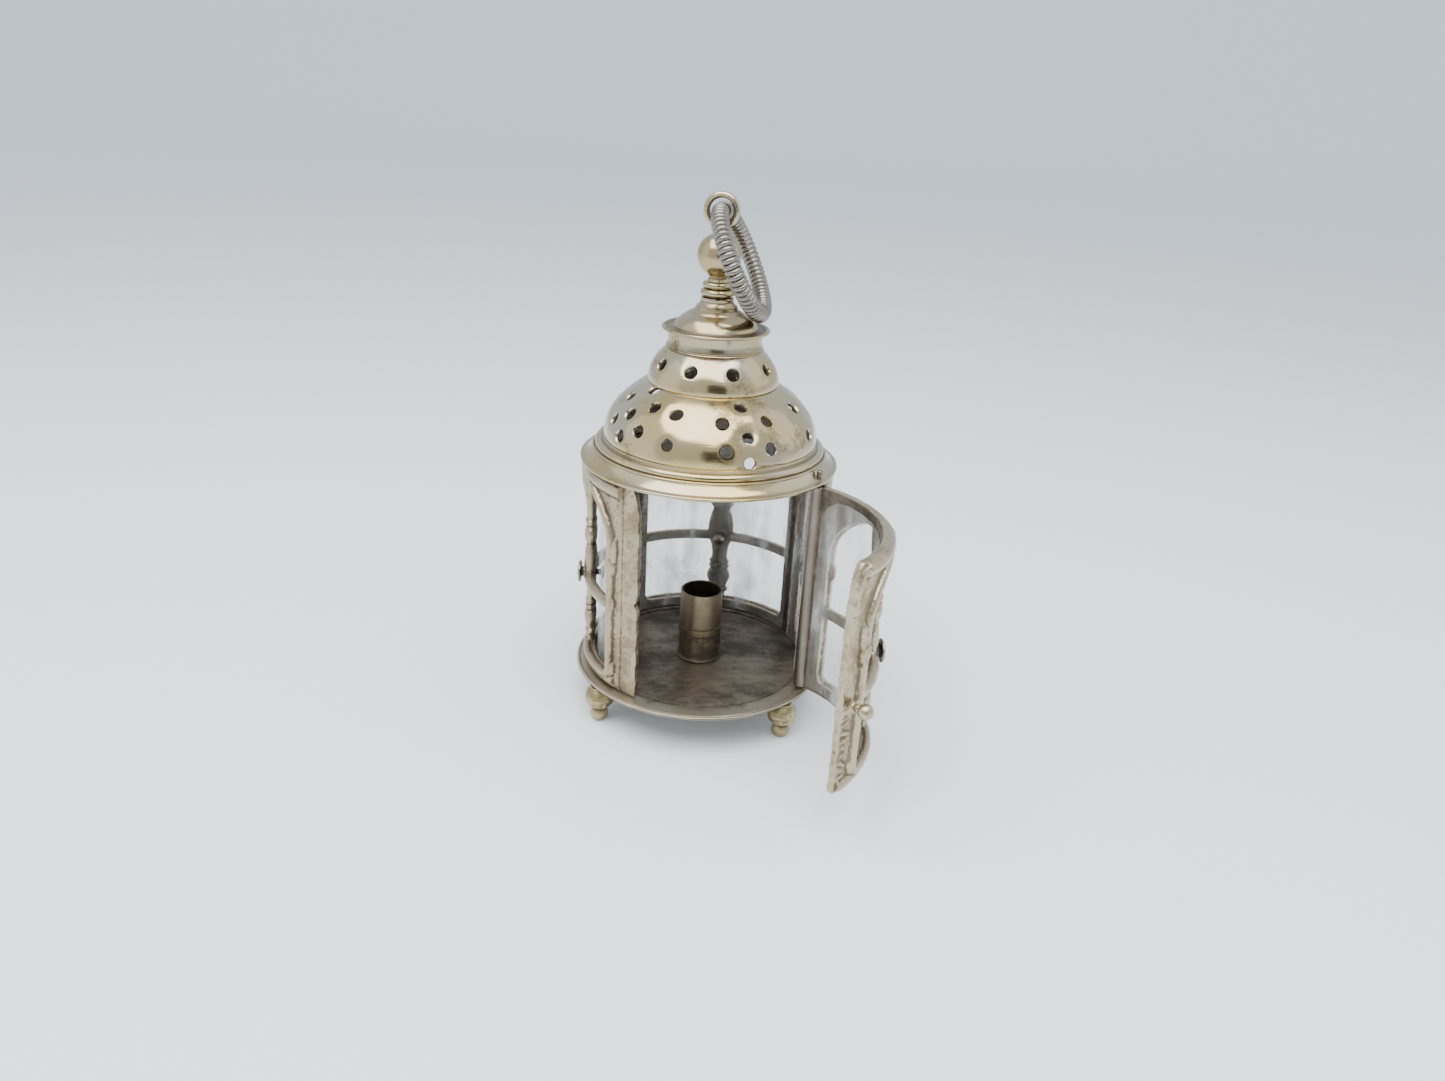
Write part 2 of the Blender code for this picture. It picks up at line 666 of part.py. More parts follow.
def add_hole_cutter(holes, dome, spot, radius):
    """Adds a short prism to the cutter's mesh, square to the dome at a hole."""
    turn = Vector((0, 0, 1)).rotation_difference(dome.normal(spot)).to_matrix().to_4x4()
    bmesh.ops.create_cone(
        holes,
        cap_ends=True,
        segments=HOLE_SIDES,
        radius1=radius,
        radius2=radius,
        depth=6 * DOME_WALL,
        matrix=Matrix.Translation(spot) @ turn,
    )


def finish_hole_cutter(name, holes, cutters):
    mesh = bpy.data.meshes.new(name)
    holes.to_mesh(mesh)
    holes.free()
    return as_cutter(add_object(name, mesh, cutters))


def make_lower_dome(collection, cutters, material):
    """The lower dome, pierced with rosettes of seven holes and a pair of holes between them."""
    dome = add_shell("lower_dome", LOWER_DOME.profile(6), collection, material)
    holes = bmesh.new()
    for azimuth, share in ROSETTES:
        centre = LOWER_DOME.spot(azimuth, share)
        outward = LOWER_DOME.normal(centre)
        along = Vector((cos(radians(azimuth)), sin(radians(azimuth)), 0))
        upward = outward.cross(along)
        add_hole_cutter(holes, LOWER_DOME, centre, ROSETTE_HOLE_RADIUS)
        for petal in range(6):
            angle = radians(60 * petal + 30)
            offset = (along * cos(angle) + upward * sin(angle)) * ROSETTE_RADIUS
            add_hole_cutter(holes, LOWER_DOME, LOWER_DOME.drop_onto(centre + offset), ROSETTE_HOLE_RADIUS)
    for azimuth in PAIR_AZIMUTHS:
        for share in PAIR_SHARES:
            add_hole_cutter(holes, LOWER_DOME, LOWER_DOME.spot(azimuth, share), ROSETTE_HOLE_RADIUS)
    add_boolean(dome, finish_hole_cutter("lower_holes", holes, cutters))
    return dome


def make_upper_dome(collection, cutters, material):
    dome = add_shell("upper_dome", UPPER_DOME.profile(4), collection, material)
    holes = bmesh.new()
    for azimuth in UPPER_HOLE_AZIMUTHS:
        add_hole_cutter(holes, UPPER_DOME, UPPER_DOME.spot(azimuth, UPPER_HOLE_SHARE), UPPER_HOLE_RADIUS)
    add_boolean(dome, finish_hole_cutter("upper_holes", holes, cutters))
    return dome


def make_neck(collection, material):
    inner = NECK_RADIUS - DOME_WALL
    profile = [(inner, NECK_TOP), (NECK_RADIUS, NECK_TOP), (NECK_RADIUS, NECK_FOOT), (inner, NECK_FOOT)]
    return add_turned("neck_collar", profile, collection, material, closed=True, steps=32)


def make_cap(collection, material):
    flange_top = CAP_FOOT + CAP_FLANGE_THICKNESS
    rise = CAP_TOP - flange_top
    dome = []
    for step in range(6):
        turn = radians(90) * (5 - step) / 5
        radius = DRUM_RADIUS + (CAP_DOME_RADIUS - DRUM_RADIUS) * cos(turn)
        dome.append((radius, flange_top + rise * sin(turn) * 0.98 + rise * 0.02))
    dish = (CAP_DOME_RADIUS + CAP_FLANGE_RADIUS) / 2
    profile = [
        (0, CAP_TOP),
        *dome,
        (dish, flange_top - 0.15 * MM),
        (CAP_FLANGE_RADIUS, flange_top),
        (CAP_FLANGE_RADIUS, flange_top - 0.2 * MM),
        (CAP_FLANGE_RADIUS - 0.5 * MM, CAP_FOOT),
        (0, CAP_FOOT),
    ]
    return add_turned("cap", profile, collection, material, steps=32)


def make_stem(collection, material):
    drum_top = STEM_FOOT + DRUM_HEIGHT
    profile = [
        (DRUM_RADIUS, STEM_FOOT),
        (DRUM_RADIUS, drum_top - 0.3 * MM),
        (DRUM_RADIUS - 0.3 * MM, drum_top),
        (STEM_WAIST_RADIUS, drum_top + 0.15 * MM),
    ]
    for index, radius in enumerate(COLLAR_RADII):
        middle = drum_top + COLLAR_SPACING * (index + 0.55)
        bead = COLLAR_HEIGHT / 2
        profile += [
            (STEM_WAIST_RADIUS, middle - bead),
            (radius, middle - 0.5 * bead),
            (radius, middle + 0.5 * bead),
            (STEM_WAIST_RADIUS, middle + bead),
        ]
    start = -degrees(acos(STEM_WAIST_RADIUS / KNOP_RADIUS))
    knop = arc((0, KNOP_CENTRE), KNOP_RADIUS, start, 90, 10)
    profile = [(0, STEM_FOOT), *profile, *knop[:-1], (0, KNOP_CENTRE + KNOP_RADIUS)]
    return add_turned("finial_stem", profile[::-1], collection, material, steps=20)


def make_eye(collection, material):
    """The ring on the knop. Its hole runs along the loop's hinge axis."""
    bpy.ops.mesh.primitive_torus_add(
        major_radius=EYE_RADIUS,
        minor_radius=EYE_WIRE_RADIUS,
        major_segments=24,
        minor_segments=8,
        location=(0, 0, EYE_CENTRE),
        rotation=(radians(90), 0, -radians(EYE_TURN)),
    )
    return adopt("finial_eye", bpy.context.object, collection, material)


def adopt(name, obj, collection, material):
    """Names a primitive and moves it to the object's collection."""
    for owner in list(obj.users_collection):
        owner.objects.unlink(obj)
    collection.objects.link(obj)
    obj.name = name
    obj.data.name = name
    obj.data.materials.append(material)
    shade_round(obj.data)
    return obj


def new_pivot(name, location, rotation, collection):
    """An empty on a joint's axis. What it carries moves with it."""
    pivot = bpy.data.objects.new(name, None)
    pivot.empty_display_size = 3 * MM
    pivot.location = location
    pivot.rotation_euler = rotation
    collection.objects.link(pivot)
    return pivot


def hang_on(pivot, obj):
    """Parents an object that stands where it would be with the pivot at no rotation."""
    obj.parent = pivot
    obj.location = Vector(obj.location) - Vector(pivot.location)
    return obj


def make_loop(collection, core_material, winding_material):
    """The carrying loop hangs from the eye and leans to +X until it rests on the cap."""
    pivot = new_pivot(
        "loop_pivot", (0, 0, EYE_CENTRE), (0, -radians(LOOP_LEAN), -radians(EYE_TURN)), collection
    )
    bpy.ops.mesh.primitive_torus_add(
        major_radius=LOOP_RADIUS, minor_radius=LOOP_CORE_RADIUS, major_segments=40, minor_segments=8
    )
    core = adopt("loop_core", bpy.context.object, collection, core_material)
    core.data.transform(Matrix.Translation((0, 0, -LOOP_RADIUS)) @ Matrix.Rotation(radians(90), 4, "Y"))
    core.parent = pivot

    inner = LOOP_CORE_RADIUS + PIN_CLEARANCE
    sides = 8
    points = [
        (LOOP_RADIUS + radius * cos(2 * pi * side / sides), 0.0, -radius * sin(2 * pi * side / sides))
        for radius in (LOOP_WINDING_RADIUS, inner)
        for side in range(sides)
    ]
    faces = []
    for side in range(sides):
        after = (side + 1) % sides
        faces.append((side, after, sides + after, sides + side))
    mesh = bpy.data.meshes.new("loop_winding")
    mesh.from_pydata(points, [], faces)
    shape = bmesh.new()
    shape.from_mesh(mesh)
    bmesh.ops.spin(
        shape,
        geom=[*shape.verts, *shape.edges, *shape.faces],
        cent=(0, 0, 0),
        axis=(0, 0, 1),
        angle=radians(360 - LOOP_WINDING_GAP),
        steps=40,
        use_duplicate=False,
    )
    bmesh.ops.recalc_face_normals(shape, faces=shape.faces)
    shape.to_mesh(mesh)
    shape.free()
    middle_of_gap = Matrix.Rotation(radians(180 + LOOP_WINDING_GAP / 2), 4, "Z")
    stand_up = Matrix.Translation((0, 0, -LOOP_RADIUS)) @ Matrix.Rotation(radians(90), 4, "Y")
    mesh.transform(stand_up @ middle_of_gap)
    shade_round(mesh)
    winding = add_object("loop_winding", mesh, collection, winding_material)
    winding.parent = pivot


def make_door(collection, cutters, materials):
    """The door's frame, pane, rivet and knob, carried by a pivot on the hinge's axis."""
    silver, pane_material, rivet_material = materials
    pivot = new_pivot(
        "door_pivot", polar(HINGE_CIRCLE_RADIUS, HINGE_AZIMUTH, 0), (0, 0, radians(DOOR_OPEN_ANGLE)), collection
    )
    axis = polar(HINGE_CIRCLE_RADIUS, HINGE_AZIMUTH, FRAME_FOOT)
    frame = make_frame("door_frame", DOOR_PANEL, collection, silver)
    knuckle = add_cylinder_mesh("door_knuckle", KNUCKLE_RADIUS, FRAME_HEIGHT, cutters, SMALL_TURN_STEPS)
    knuckle.location = axis
    bore = add_cylinder_mesh("door_bore", PIN_HOLE_RADIUS, FRAME_HEIGHT + 2 * MM, cutters, SMALL_TURN_STEPS)
    bore.location = axis - Vector((0, 0, MM))
    add_boolean(frame, as_cutter(knuckle), "UNION")
    add_boolean(frame, as_cutter(bore))
    pane = make_pane("door_pane", DOOR_PANEL, DOOR_PANE_RADIUS, collection, pane_material)
    rivet = make_rivet(
        "door_rivet",
        DOOR_PANEL.mullion,
        DOOR_OUTER_RADIUS,
        DOOR_PANE_RADIUS - PANE_THICKNESS,
        collection,
        rivet_material,
    )
    stem_foot = DOOR_OUTER_RADIUS + SEAT_GAP
    ball = stem_foot + KNOB_STANDOFF + KNOB_RADIUS
    start = -degrees(acos(KNOB_STEM_RADIUS / KNOB_RADIUS))
    profile = [
        *arc((0, ball), KNOB_RADIUS, 90, start, 8),
        (KNOB_STEM_RADIUS, stem_foot + 0.3 * MM),
        (1.7 * KNOB_STEM_RADIUS, stem_foot),
        (0, stem_foot),
    ]
    profile[0] = (0, ball + KNOB_RADIUS)
    knob = add_turned("door_knob", profile, collection, silver, steps=16)
    knob.location = (0, 0, FRAME_FOOT + KNOB_HEIGHT)
    stile_middle = DOOR_PANEL.azimuth_of(STILE_WIDTH) / 2 + DOOR_PANEL.start_margin / 2
    knob.rotation_euler = (radians(90), 0, radians(DOOR_FREE_AZIMUTH + stile_middle))
    for piece in (frame, pane, rivet, knob, knuckle, bore):
        hang_on(pivot, piece)


def make_hinge_pin(collection, material):
    """The pin stands in the base plate and the brim, and the door turns on it."""
    foot = 0.1 * MM
    head = BRIM_SHOULDER - 0.35 * MM
    pin = add_cylinder_mesh("hinge_pin", HINGE_PIN_RADIUS, head - foot, collection, SMALL_TURN_STEPS, material)
    pin.location = polar(HINGE_CIRCLE_RADIUS, HINGE_AZIMUTH, foot)
    return pin


def main():
    clear_scene()
    lantern = new_collection("candle_lantern")
    cutters = new_collection("cutters")

    gilt = new_material("silver_gilt", (0.78, 0.73, 0.60), 0.18, 1.0)
    silver = new_material("cast_silver", (0.66, 0.63, 0.56), 0.38, 1.0)
    dark_silver = new_material("tarnished_silver", (0.30, 0.27, 0.24), 0.45, 1.0)
    brass = new_material("dark_brass", (0.36, 0.29, 0.17), 0.40, 1.0)
    mica = new_material("clear_mica", (0.90, 0.91, 0.90), 0.08, 0.0, alpha=0.25)
    steel = new_material("oxidised_silver", (0.46, 0.45, 0.43), 0.35, 1.0)

    make_base_plate(lantern, cutters, dark_silver)
    make_feet(lantern, gilt)
    make_socket(lantern, brass)
    make_frame("left_frame", LEFT_PANEL, lantern, silver, rebate_end=LEFT_PANEL.end)
    make_frame("back_frame", BACK_PANEL, lantern, silver)
    make_frame("right_frame", RIGHT_PANEL, lantern, silver)
    sides = {"left": LEFT_PANEL, "back": BACK_PANEL, "right": RIGHT_PANEL}
    for side, panel in sides.items():
        make_pane(side + "_pane", panel, PANE_RADIUS, lantern, mica)
        make_rivet(
            side + "_rivet", panel.mullion, BODY_RADIUS, PANE_RADIUS - PANE_THICKNESS, lantern, steel
        )
    make_hinge_pin(lantern, steel)
    make_door(lantern, cutters, (silver, mica, steel))
    make_roof_ring(lantern, silver)
    make_brim(lantern, cutters, gilt)
    make_lower_dome(lantern, cutters, gilt)
    make_upper_dome(lantern, cutters, gilt)
    make_neck(lantern, gilt)
    make_cap(lantern, gilt)
    make_stem(lantern, gilt)
    make_eye(lantern, gilt)
    make_loop(lantern, steel, steel)


main()
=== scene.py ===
"""The looks of the candle lantern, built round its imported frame.

Every size is in millimetres until Bench.finish brings a piece down to metres. An azimuth is in degrees
from the front, towards the hinge side, and a height is above the underside of the base plate.
"""

import logging
import math
from dataclasses import dataclass
from enum import Enum
from typing import Callable, Sequence

import bpy
import numpy as np
from mathutils import Matrix, Vector, noise


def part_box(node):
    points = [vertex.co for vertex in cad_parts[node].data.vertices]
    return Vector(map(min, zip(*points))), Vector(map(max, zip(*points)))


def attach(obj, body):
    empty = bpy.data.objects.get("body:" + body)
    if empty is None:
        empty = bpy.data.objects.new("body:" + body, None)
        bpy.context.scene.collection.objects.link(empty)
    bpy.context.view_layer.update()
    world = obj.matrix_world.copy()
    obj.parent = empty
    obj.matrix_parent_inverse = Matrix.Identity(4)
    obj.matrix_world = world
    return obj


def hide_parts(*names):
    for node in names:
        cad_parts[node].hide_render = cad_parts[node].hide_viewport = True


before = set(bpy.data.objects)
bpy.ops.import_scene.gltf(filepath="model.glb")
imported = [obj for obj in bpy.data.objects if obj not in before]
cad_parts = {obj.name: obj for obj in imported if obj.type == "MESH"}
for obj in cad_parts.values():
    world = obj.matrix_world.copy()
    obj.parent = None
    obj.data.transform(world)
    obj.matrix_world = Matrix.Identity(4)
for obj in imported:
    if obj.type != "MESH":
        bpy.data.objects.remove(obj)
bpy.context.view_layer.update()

LOG = logging.getLogger("lantern")
MM = 0.001
UP = Vector((0, 0, 1))
Profile = Sequence[tuple[float, float]]
Point = tuple[float, float, float]


class Body(Enum):
    """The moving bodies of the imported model."""

    LANTERN = "lantern"
    DOOR = "door"
    LOOP = "loop"


def polar(radius: float, azimuth: float, height: float) -> Vector:
    """A point given by its distance from the lantern's axis, its azimuth and its height.

    Args:
        radius: distance from the axis, in millimetres.
        azimuth: degrees from the front, towards the hinge side.
        height: millimetres above the base plate's underside.

    Returns:
        The point in millimetres.
    """
    turn = math.radians(azimuth)
    return Vector((radius * math.sin(turn), -radius * math.cos(turn), height))


def from_axis(spot: Vector) -> Vector:
    """The level direction from the lantern's axis to a point."""
    return Vector((spot.x, spot.y, 0)).normalized()


def fair(points: Profile, steps: int = 4) -> list[tuple[float, float]]:
    """Runs a smooth curve through profile points.

    Args:
        points: (radius, height) pairs.
        steps: points made between each two.

    Returns:
        The denser profile, with both ends kept.
    """
    path = []
    last = len(points) - 1
    for index in range(last):
        before, start = Vector(points[max(index - 1, 0)]), Vector(points[index])
        end, after = Vector(points[index + 1]), Vector(points[min(index + 2, last)])
        for step in range(steps):
            t = step / steps
            spot = 0.5 * (
                2 * start
                + (end - before) * t
                + (2 * before - 5 * start + 4 * end - after) * t**2
                + (3 * start - before - 3 * end + after) * t**3
            )
            path.append((max(spot.x, 0.0), spot.y))
    return [*path, tuple(points[last])]


def arc(centre: tuple[float, float], radius: float, start: float, end: float, steps: int = 8) -> list:
    """Points on a circle in the profile plane.

    Args:
        centre: (radius, height) of the circle's middle.
        radius: the circle's own radius.
        start: first angle in degrees, from the outward direction towards up.
        end: last angle in degrees.
        steps: number of chords.

    Returns:
        The points as (radius, height) pairs.
    """
    turns = [math.radians(start + (end - start) * step / steps) for step in range(steps + 1)]
    return [(centre[0] + radius * math.cos(t), centre[1] + radius * math.sin(t)) for t in turns]


class Bench:
    """The modelling bench. One unit on it is one millimetre."""

    WEAR_AND_SHADE = "wear_and_shade"
    WELD_GAP = 0.002
    TURNED_AWAY = -0.35

    @staticmethod
    def clear() -> None:
        """Leaves edit mode and deselects everything."""
        if bpy.context.object is not None and bpy.context.object.mode != "OBJECT":
            bpy.ops.object.mode_set(mode="OBJECT")
        bpy.ops.object.select_all(action="DESELECT")

    @staticmethod
    def pick(*objs: bpy.types.Object) -> None:
        """Selects only these objects and makes the first one active."""
        Bench.clear()
        for obj in objs:
            obj.select_set(True)
        bpy.context.view_layer.objects.active = objs[0]

    @staticmethod
    def trace(name: str, points: Sequence[Vector], closed: bool = False) -> bpy.types.Object:
        """Draws a chain of edges by extruding one vertex from point to point.

        Args:
            name: the new object's name.
            points: the chain's corners.
            closed: whether an edge joins the last point to the first.

        Returns:
            The object, with its place in its mesh.
        """
        Bench.clear()
        bpy.ops.mesh.primitive_plane_add(size=0.1, location=points[0])
        obj = bpy.context.object
        obj.name = name
        bpy.ops.object.mode_set(mode="EDIT")
        bpy.ops.mesh.merge(type="CENTER")
        for here, there in zip(points, points[1:]):
            bpy.ops.mesh.extrude_region_move(TRANSFORM_OT_translate={"value": there - here})
        bpy.ops.object.mode_set(mode="OBJECT")
        if closed:
            obj.data.vertices[0].select = True
            bpy.ops.object.mode_set(mode="EDIT")
            bpy.ops.mesh.edge_face_add()
            bpy.ops.object.mode_set(mode="OBJECT")
        bpy.ops.object.transform_apply(location=True, rotation=True, scale=True)
        return obj

    @staticmethod
    def weld() -> None:
        """Welds the edited mesh's coincident points, turns its faces outwards and leaves edit mode."""
        bpy.ops.mesh.select_all(action="SELECT")
        bpy.ops.mesh.remove_doubles(threshold=Bench.WELD_GAP)
        bpy.ops.mesh.normals_make_consistent(inside=False)
        bpy.ops.object.mode_set(mode="OBJECT")

    @staticmethod
    def turn(name: str, profile: Profile, steps: int = 96, closed: bool = False) -> bpy.types.Object:
        """Turns a profile round the vertical axis, as on a lathe.

        Args:
            name: the new object's name.
            profile: (radius, height) pairs.
            steps: sides of the turned piece.
            closed: whether the profile is a loop of its own, clear of the axis.

        Returns:
            The turned object, closed and facing outwards.
        """
        obj = Bench.trace(name, [Vector((radius, 0, height)) for radius, height in profile], closed)
        bpy.ops.object.mode_set(mode="EDIT")
        bpy.ops.mesh.select_all(action="SELECT")
        bpy.ops.mesh.spin(steps=steps, angle=2 * math.pi, center=(0, 0, 0), axis=(0, 0, 1))
        Bench.weld()
        return obj

    @staticmethod
    def sweep(
        name: str,
        points: Sequence[Vector],
        radius: float,
        closed: bool = False,
        rounds: int = 3,
    ) -> bpy.types.Object:
        """Draws a round bar along a path.

        Args:
            name: the new object's name.
            points: the bar's middle line.
            radius: the bar's radius.
            closed: whether the bar closes on itself.
            rounds: how finely the bar is rounded.

        Returns:
            The bar as a closed mesh.
        """
        obj = Bench.trace(name, points, closed)
        Bench.pick(obj)
        bpy.ops.object.convert(target="CURVE")
        obj = bpy.context.object
        obj.data.dimensions = "3D"
        obj.data.bevel_depth = radius
        obj.data.bevel_resolution = rounds
        obj.data.use_fill_caps = True
        bpy.ops.object.convert(target="MESH")
        obj = bpy.context.object
        bpy.ops.object.mode_set(mode="EDIT")
        Bench.weld()
        return obj

    @staticmethod
    def bud(name: str, centre: Vector, half: Point, tilt: float = 0.0) -> bpy.types.Object:
        """Shapes a small leaf bud from a ball.

        Args:
            name: the new object's name.
            centre: the bud's middle.
            half: its half sizes along X, Y and Z.
            tilt: degrees of lean about the Y axis.

        Returns:
            The bud, drawn out to a point at its top.
        """
        Bench.clear()
        bpy.ops.mesh.primitive_uv_sphere_add(segments=16, ring_count=10, radius=1.0)
        obj = bpy.context.object
        obj.name = name
        for vertex in obj.data.vertices:
            pinch = 1.0 - 0.55 * max(vertex.co.z, 0.0) ** 2
            vertex.co = Vector((vertex.co.x * half[0] * pinch, vertex.co.y * half[1], vertex.co.z * half[2]))
        obj.data.transform(Matrix.Translation(centre) @ Matrix.Rotation(math.radians(tilt), 4, "Y"))
        return obj

    @staticmethod
    def copy(obj: bpy.types.Object, name: str, place: Matrix) -> bpy.types.Object:
        """Copies a piece with a mesh of its own, and moves the copy's mesh."""
        twin = obj.copy()
        twin.data = obj.data.copy()
        twin.name = name
        bpy.context.scene.collection.objects.link(twin)
        twin.data.transform(place)
        return twin

    @staticmethod
    def join(name: str, parts: Sequence[bpy.types.Object]) -> bpy.types.Object:
        """Joins meshes into one object."""
        Bench.pick(*parts)
        if len(parts) > 1:
            bpy.ops.object.join()
        obj = bpy.context.object
        obj.name = name
        return obj

    @staticmethod
    def apply(obj: bpy.types.Object, kind: str, **settings: object) -> None:
        """Adds a modifier with these settings and applies it."""
        Bench.pick(obj)
        modifier = obj.modifiers.new("work", kind)
        for key, value in settings.items():
            setattr(modifier, key, value)
        bpy.ops.object.modifier_apply(modifier=modifier.name)

    @staticmethod
    def cast(name: str, parts: Sequence[bpy.types.Object], grain: float, soften: int) -> bpy.types.Object:
        """Melts overlapping shapes into one casting with soft inner corners.

        Args:
            name: the casting's name.
            parts: closed meshes that overlap.
            grain: size of the casting's facets.
            soften: rounds of smoothing.

        Returns:
            The casting.
        """
        obj = Bench.join(name, parts)
        Bench.apply(obj, "REMESH", mode="VOXEL", voxel_size=grain)
        Bench.apply(obj, "SMOOTH", factor=0.5, iterations=soften)
        return obj

    @staticmethod
    def cut(obj: bpy.types.Object, cutter: bpy.types.Object) -> None:
        """Cuts one mesh out of another and throws the cutter away."""
        Bench.apply(obj, "BOOLEAN", operation="DIFFERENCE", solver="EXACT", object=cutter)
        bpy.data.objects.remove(cutter)

    @staticmethod
    def roughen(obj: bpy.types.Object, depth: float, pitch: float, seed: float) -> None:
        """Leaves the slow unevenness of hand work on a surface.

        Args:
            obj: the piece.
            depth: how far a point may move, in or out.
            pitch: the size of the unevenness.
            seed: shifts the pattern.
        """
        shift = Vector((seed, 2.3 * seed, 4.1 * seed))
        moves = [v.normal * depth * noise.noise(v.co / pitch + shift) for v in obj.data.vertices]
        for vertex, move in zip(obj.data.vertices, moves):
            vertex.co += move

    @staticmethod
    def mark_wear_and_shade(obj: bpy.types.Object, gain: float = 5.0, rounds: int = 3) -> None:
        """Stores how proud each point stands: under a half in a hollow, where the finishes put grime and
        painted shade, over a half on a ridge.

        Args:
            obj: the piece.
            gain: how strongly a bend counts.
            rounds: how often the mark is spread to its neighbours.
        """
        mesh = obj.data
        count = len(mesh.vertices)
        place = np.empty(count * 3)
        mesh.vertices.foreach_get("co", place)
        place = place.reshape(-1, 3)
        normal = np.array([v.normal for v in mesh.vertices])
        ends = np.empty(len(mesh.edges) * 2, int)
        mesh.edges.foreach_get("vertices", ends)
        first, second = ends.reshape(-1, 2).T
        step = place[second] - place[first]
        length = np.maximum(np.linalg.norm(step, axis=1), 1e-6)
        rise = np.bincount(first, (step * normal[first]).sum(1) / length, count)
        rise -= np.bincount(second, (step * normal[second]).sum(1) / length, count)
        near = np.maximum(np.bincount(first, minlength=count) + np.bincount(second, minlength=count), 1)
        wear_and_shade = np.clip(0.5 - gain * rise / near, 0, 1)
        for _ in range(rounds):
            spread = np.bincount(first, wear_and_shade[second], count) + np.bincount(second, wear_and_shade[first], count)
            wear_and_shade = 0.5 * wear_and_shade + 0.5 * spread / near
        attribute = mesh.attributes.new(Bench.WEAR_AND_SHADE, "FLOAT", "POINT")
        attribute.data.foreach_set("value", wear_and_shade.astype(np.float32))

    @staticmethod
    def mark_inner(obj: bpy.types.Object, outward: Callable[[Vector], Vector], limit: float) -> None:
        """Marks the faces that don't look outwards, which take the dark painted shade finish.

        Args:
            obj: the piece.
            outward: the outward direction at a point.
            limit: a face whose normal agrees less than this with it is marked.
        """
        while len(obj.data.materials) < 2:
            obj.data.materials.append(None)
        for polygon in obj.data.polygons:
            polygon.material_index = int(polygon.normal.dot(outward(polygon.center)) < limit)

    @staticmethod
    def finish(
        obj: bpy.types.Object,
        body: Body,
        finish: "Finish",
        slot: str,
        replaces: Sequence[str] = (),
        angle: float = 35.0,
        inside: "Finish | None" = None,
    ) -> bpy.types.Object:
        """Brings a piece down to metres, dresses it and hangs it on its body.

        Args:
            obj: the piece, in millimetres.
            body: the body that it rides on.
            finish: its finish.
            slot: the record's material slot; not used.
            replaces: the CAD nodes that it stands for.
            angle: edges sharper than this many degrees stay crisp.
            inside: the dark painted shade finish of the faces that the piece's own marks call inner.

        Returns:
            The finished piece.
        """
        Bench.mark_wear_and_shade(obj)
        obj.data.transform(Matrix.Scale(MM, 4))
        Bench.pick(obj)
        bpy.ops.object.shade_smooth_by_angle(angle=math.radians(angle))
        inner = [polygon.index for polygon in obj.data.polygons if polygon.material_index == 1]
        obj.data.materials.clear()
        obj.data.materials.append(finish.material())
        if inside is not None:
            obj.data.materials.append(inside.material())
            for index in inner:
                obj.data.polygons[index].material_index = 1
        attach(obj, body.value)
        if replaces:
            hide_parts(*replaces)
        LOG.info("%s: %d faces", obj.name, len(obj.data.polygons))
        return obj


class Val:
    """A shader value. Python's own operators on it add Math nodes."""

    def __init__(self, paint: "Paint", socket: bpy.types.NodeSocket) -> None:
        """Wraps a node's output socket."""
        self.paint = paint
        self.socket = socket

    def _math(self, operation: str, *inputs: object) -> "Val":
        """Adds one Math node on these inputs."""
        return self.paint.node("ShaderNodeMath", {"operation": operation}, dict(enumerate(inputs)))

    def __add__(self, other: object) -> "Val":
        """Sum."""
        return self._math("ADD", self, other)

    def __radd__(self, other: object) -> "Val":
        """Sum with the value on the right."""
        return self._math("ADD", other, self)

    def __sub__(self, other: object) -> "Val":
        """Difference."""
        return self._math("SUBTRACT", self, other)

    def __rsub__(self, other: object) -> "Val":
        """Difference with the value on the right."""
        return self._math("SUBTRACT", other, self)

    def __mul__(self, other: object) -> "Val":
        """Product."""
        return self._math("MULTIPLY", self, other)

    def __rmul__(self, other: object) -> "Val":
        """Product with the value on the right."""
        return self._math("MULTIPLY", other, self)

    def clamped(self) -> "Val":
        """The value held between 0 and 1."""
        return self.paint.node("ShaderNodeClamp", {}, {"Value": self})

    def ramp(self, low: float, high: float) -> "Val":
        """Rises smoothly from 0 at low to 1 at high."""
        settings = {"interpolation_type": "SMOOTHSTEP"}
        links = {"Value": self, "From Min": low, "From Max": high}
        return self.paint.node("ShaderNodeMapRange", settings, links)


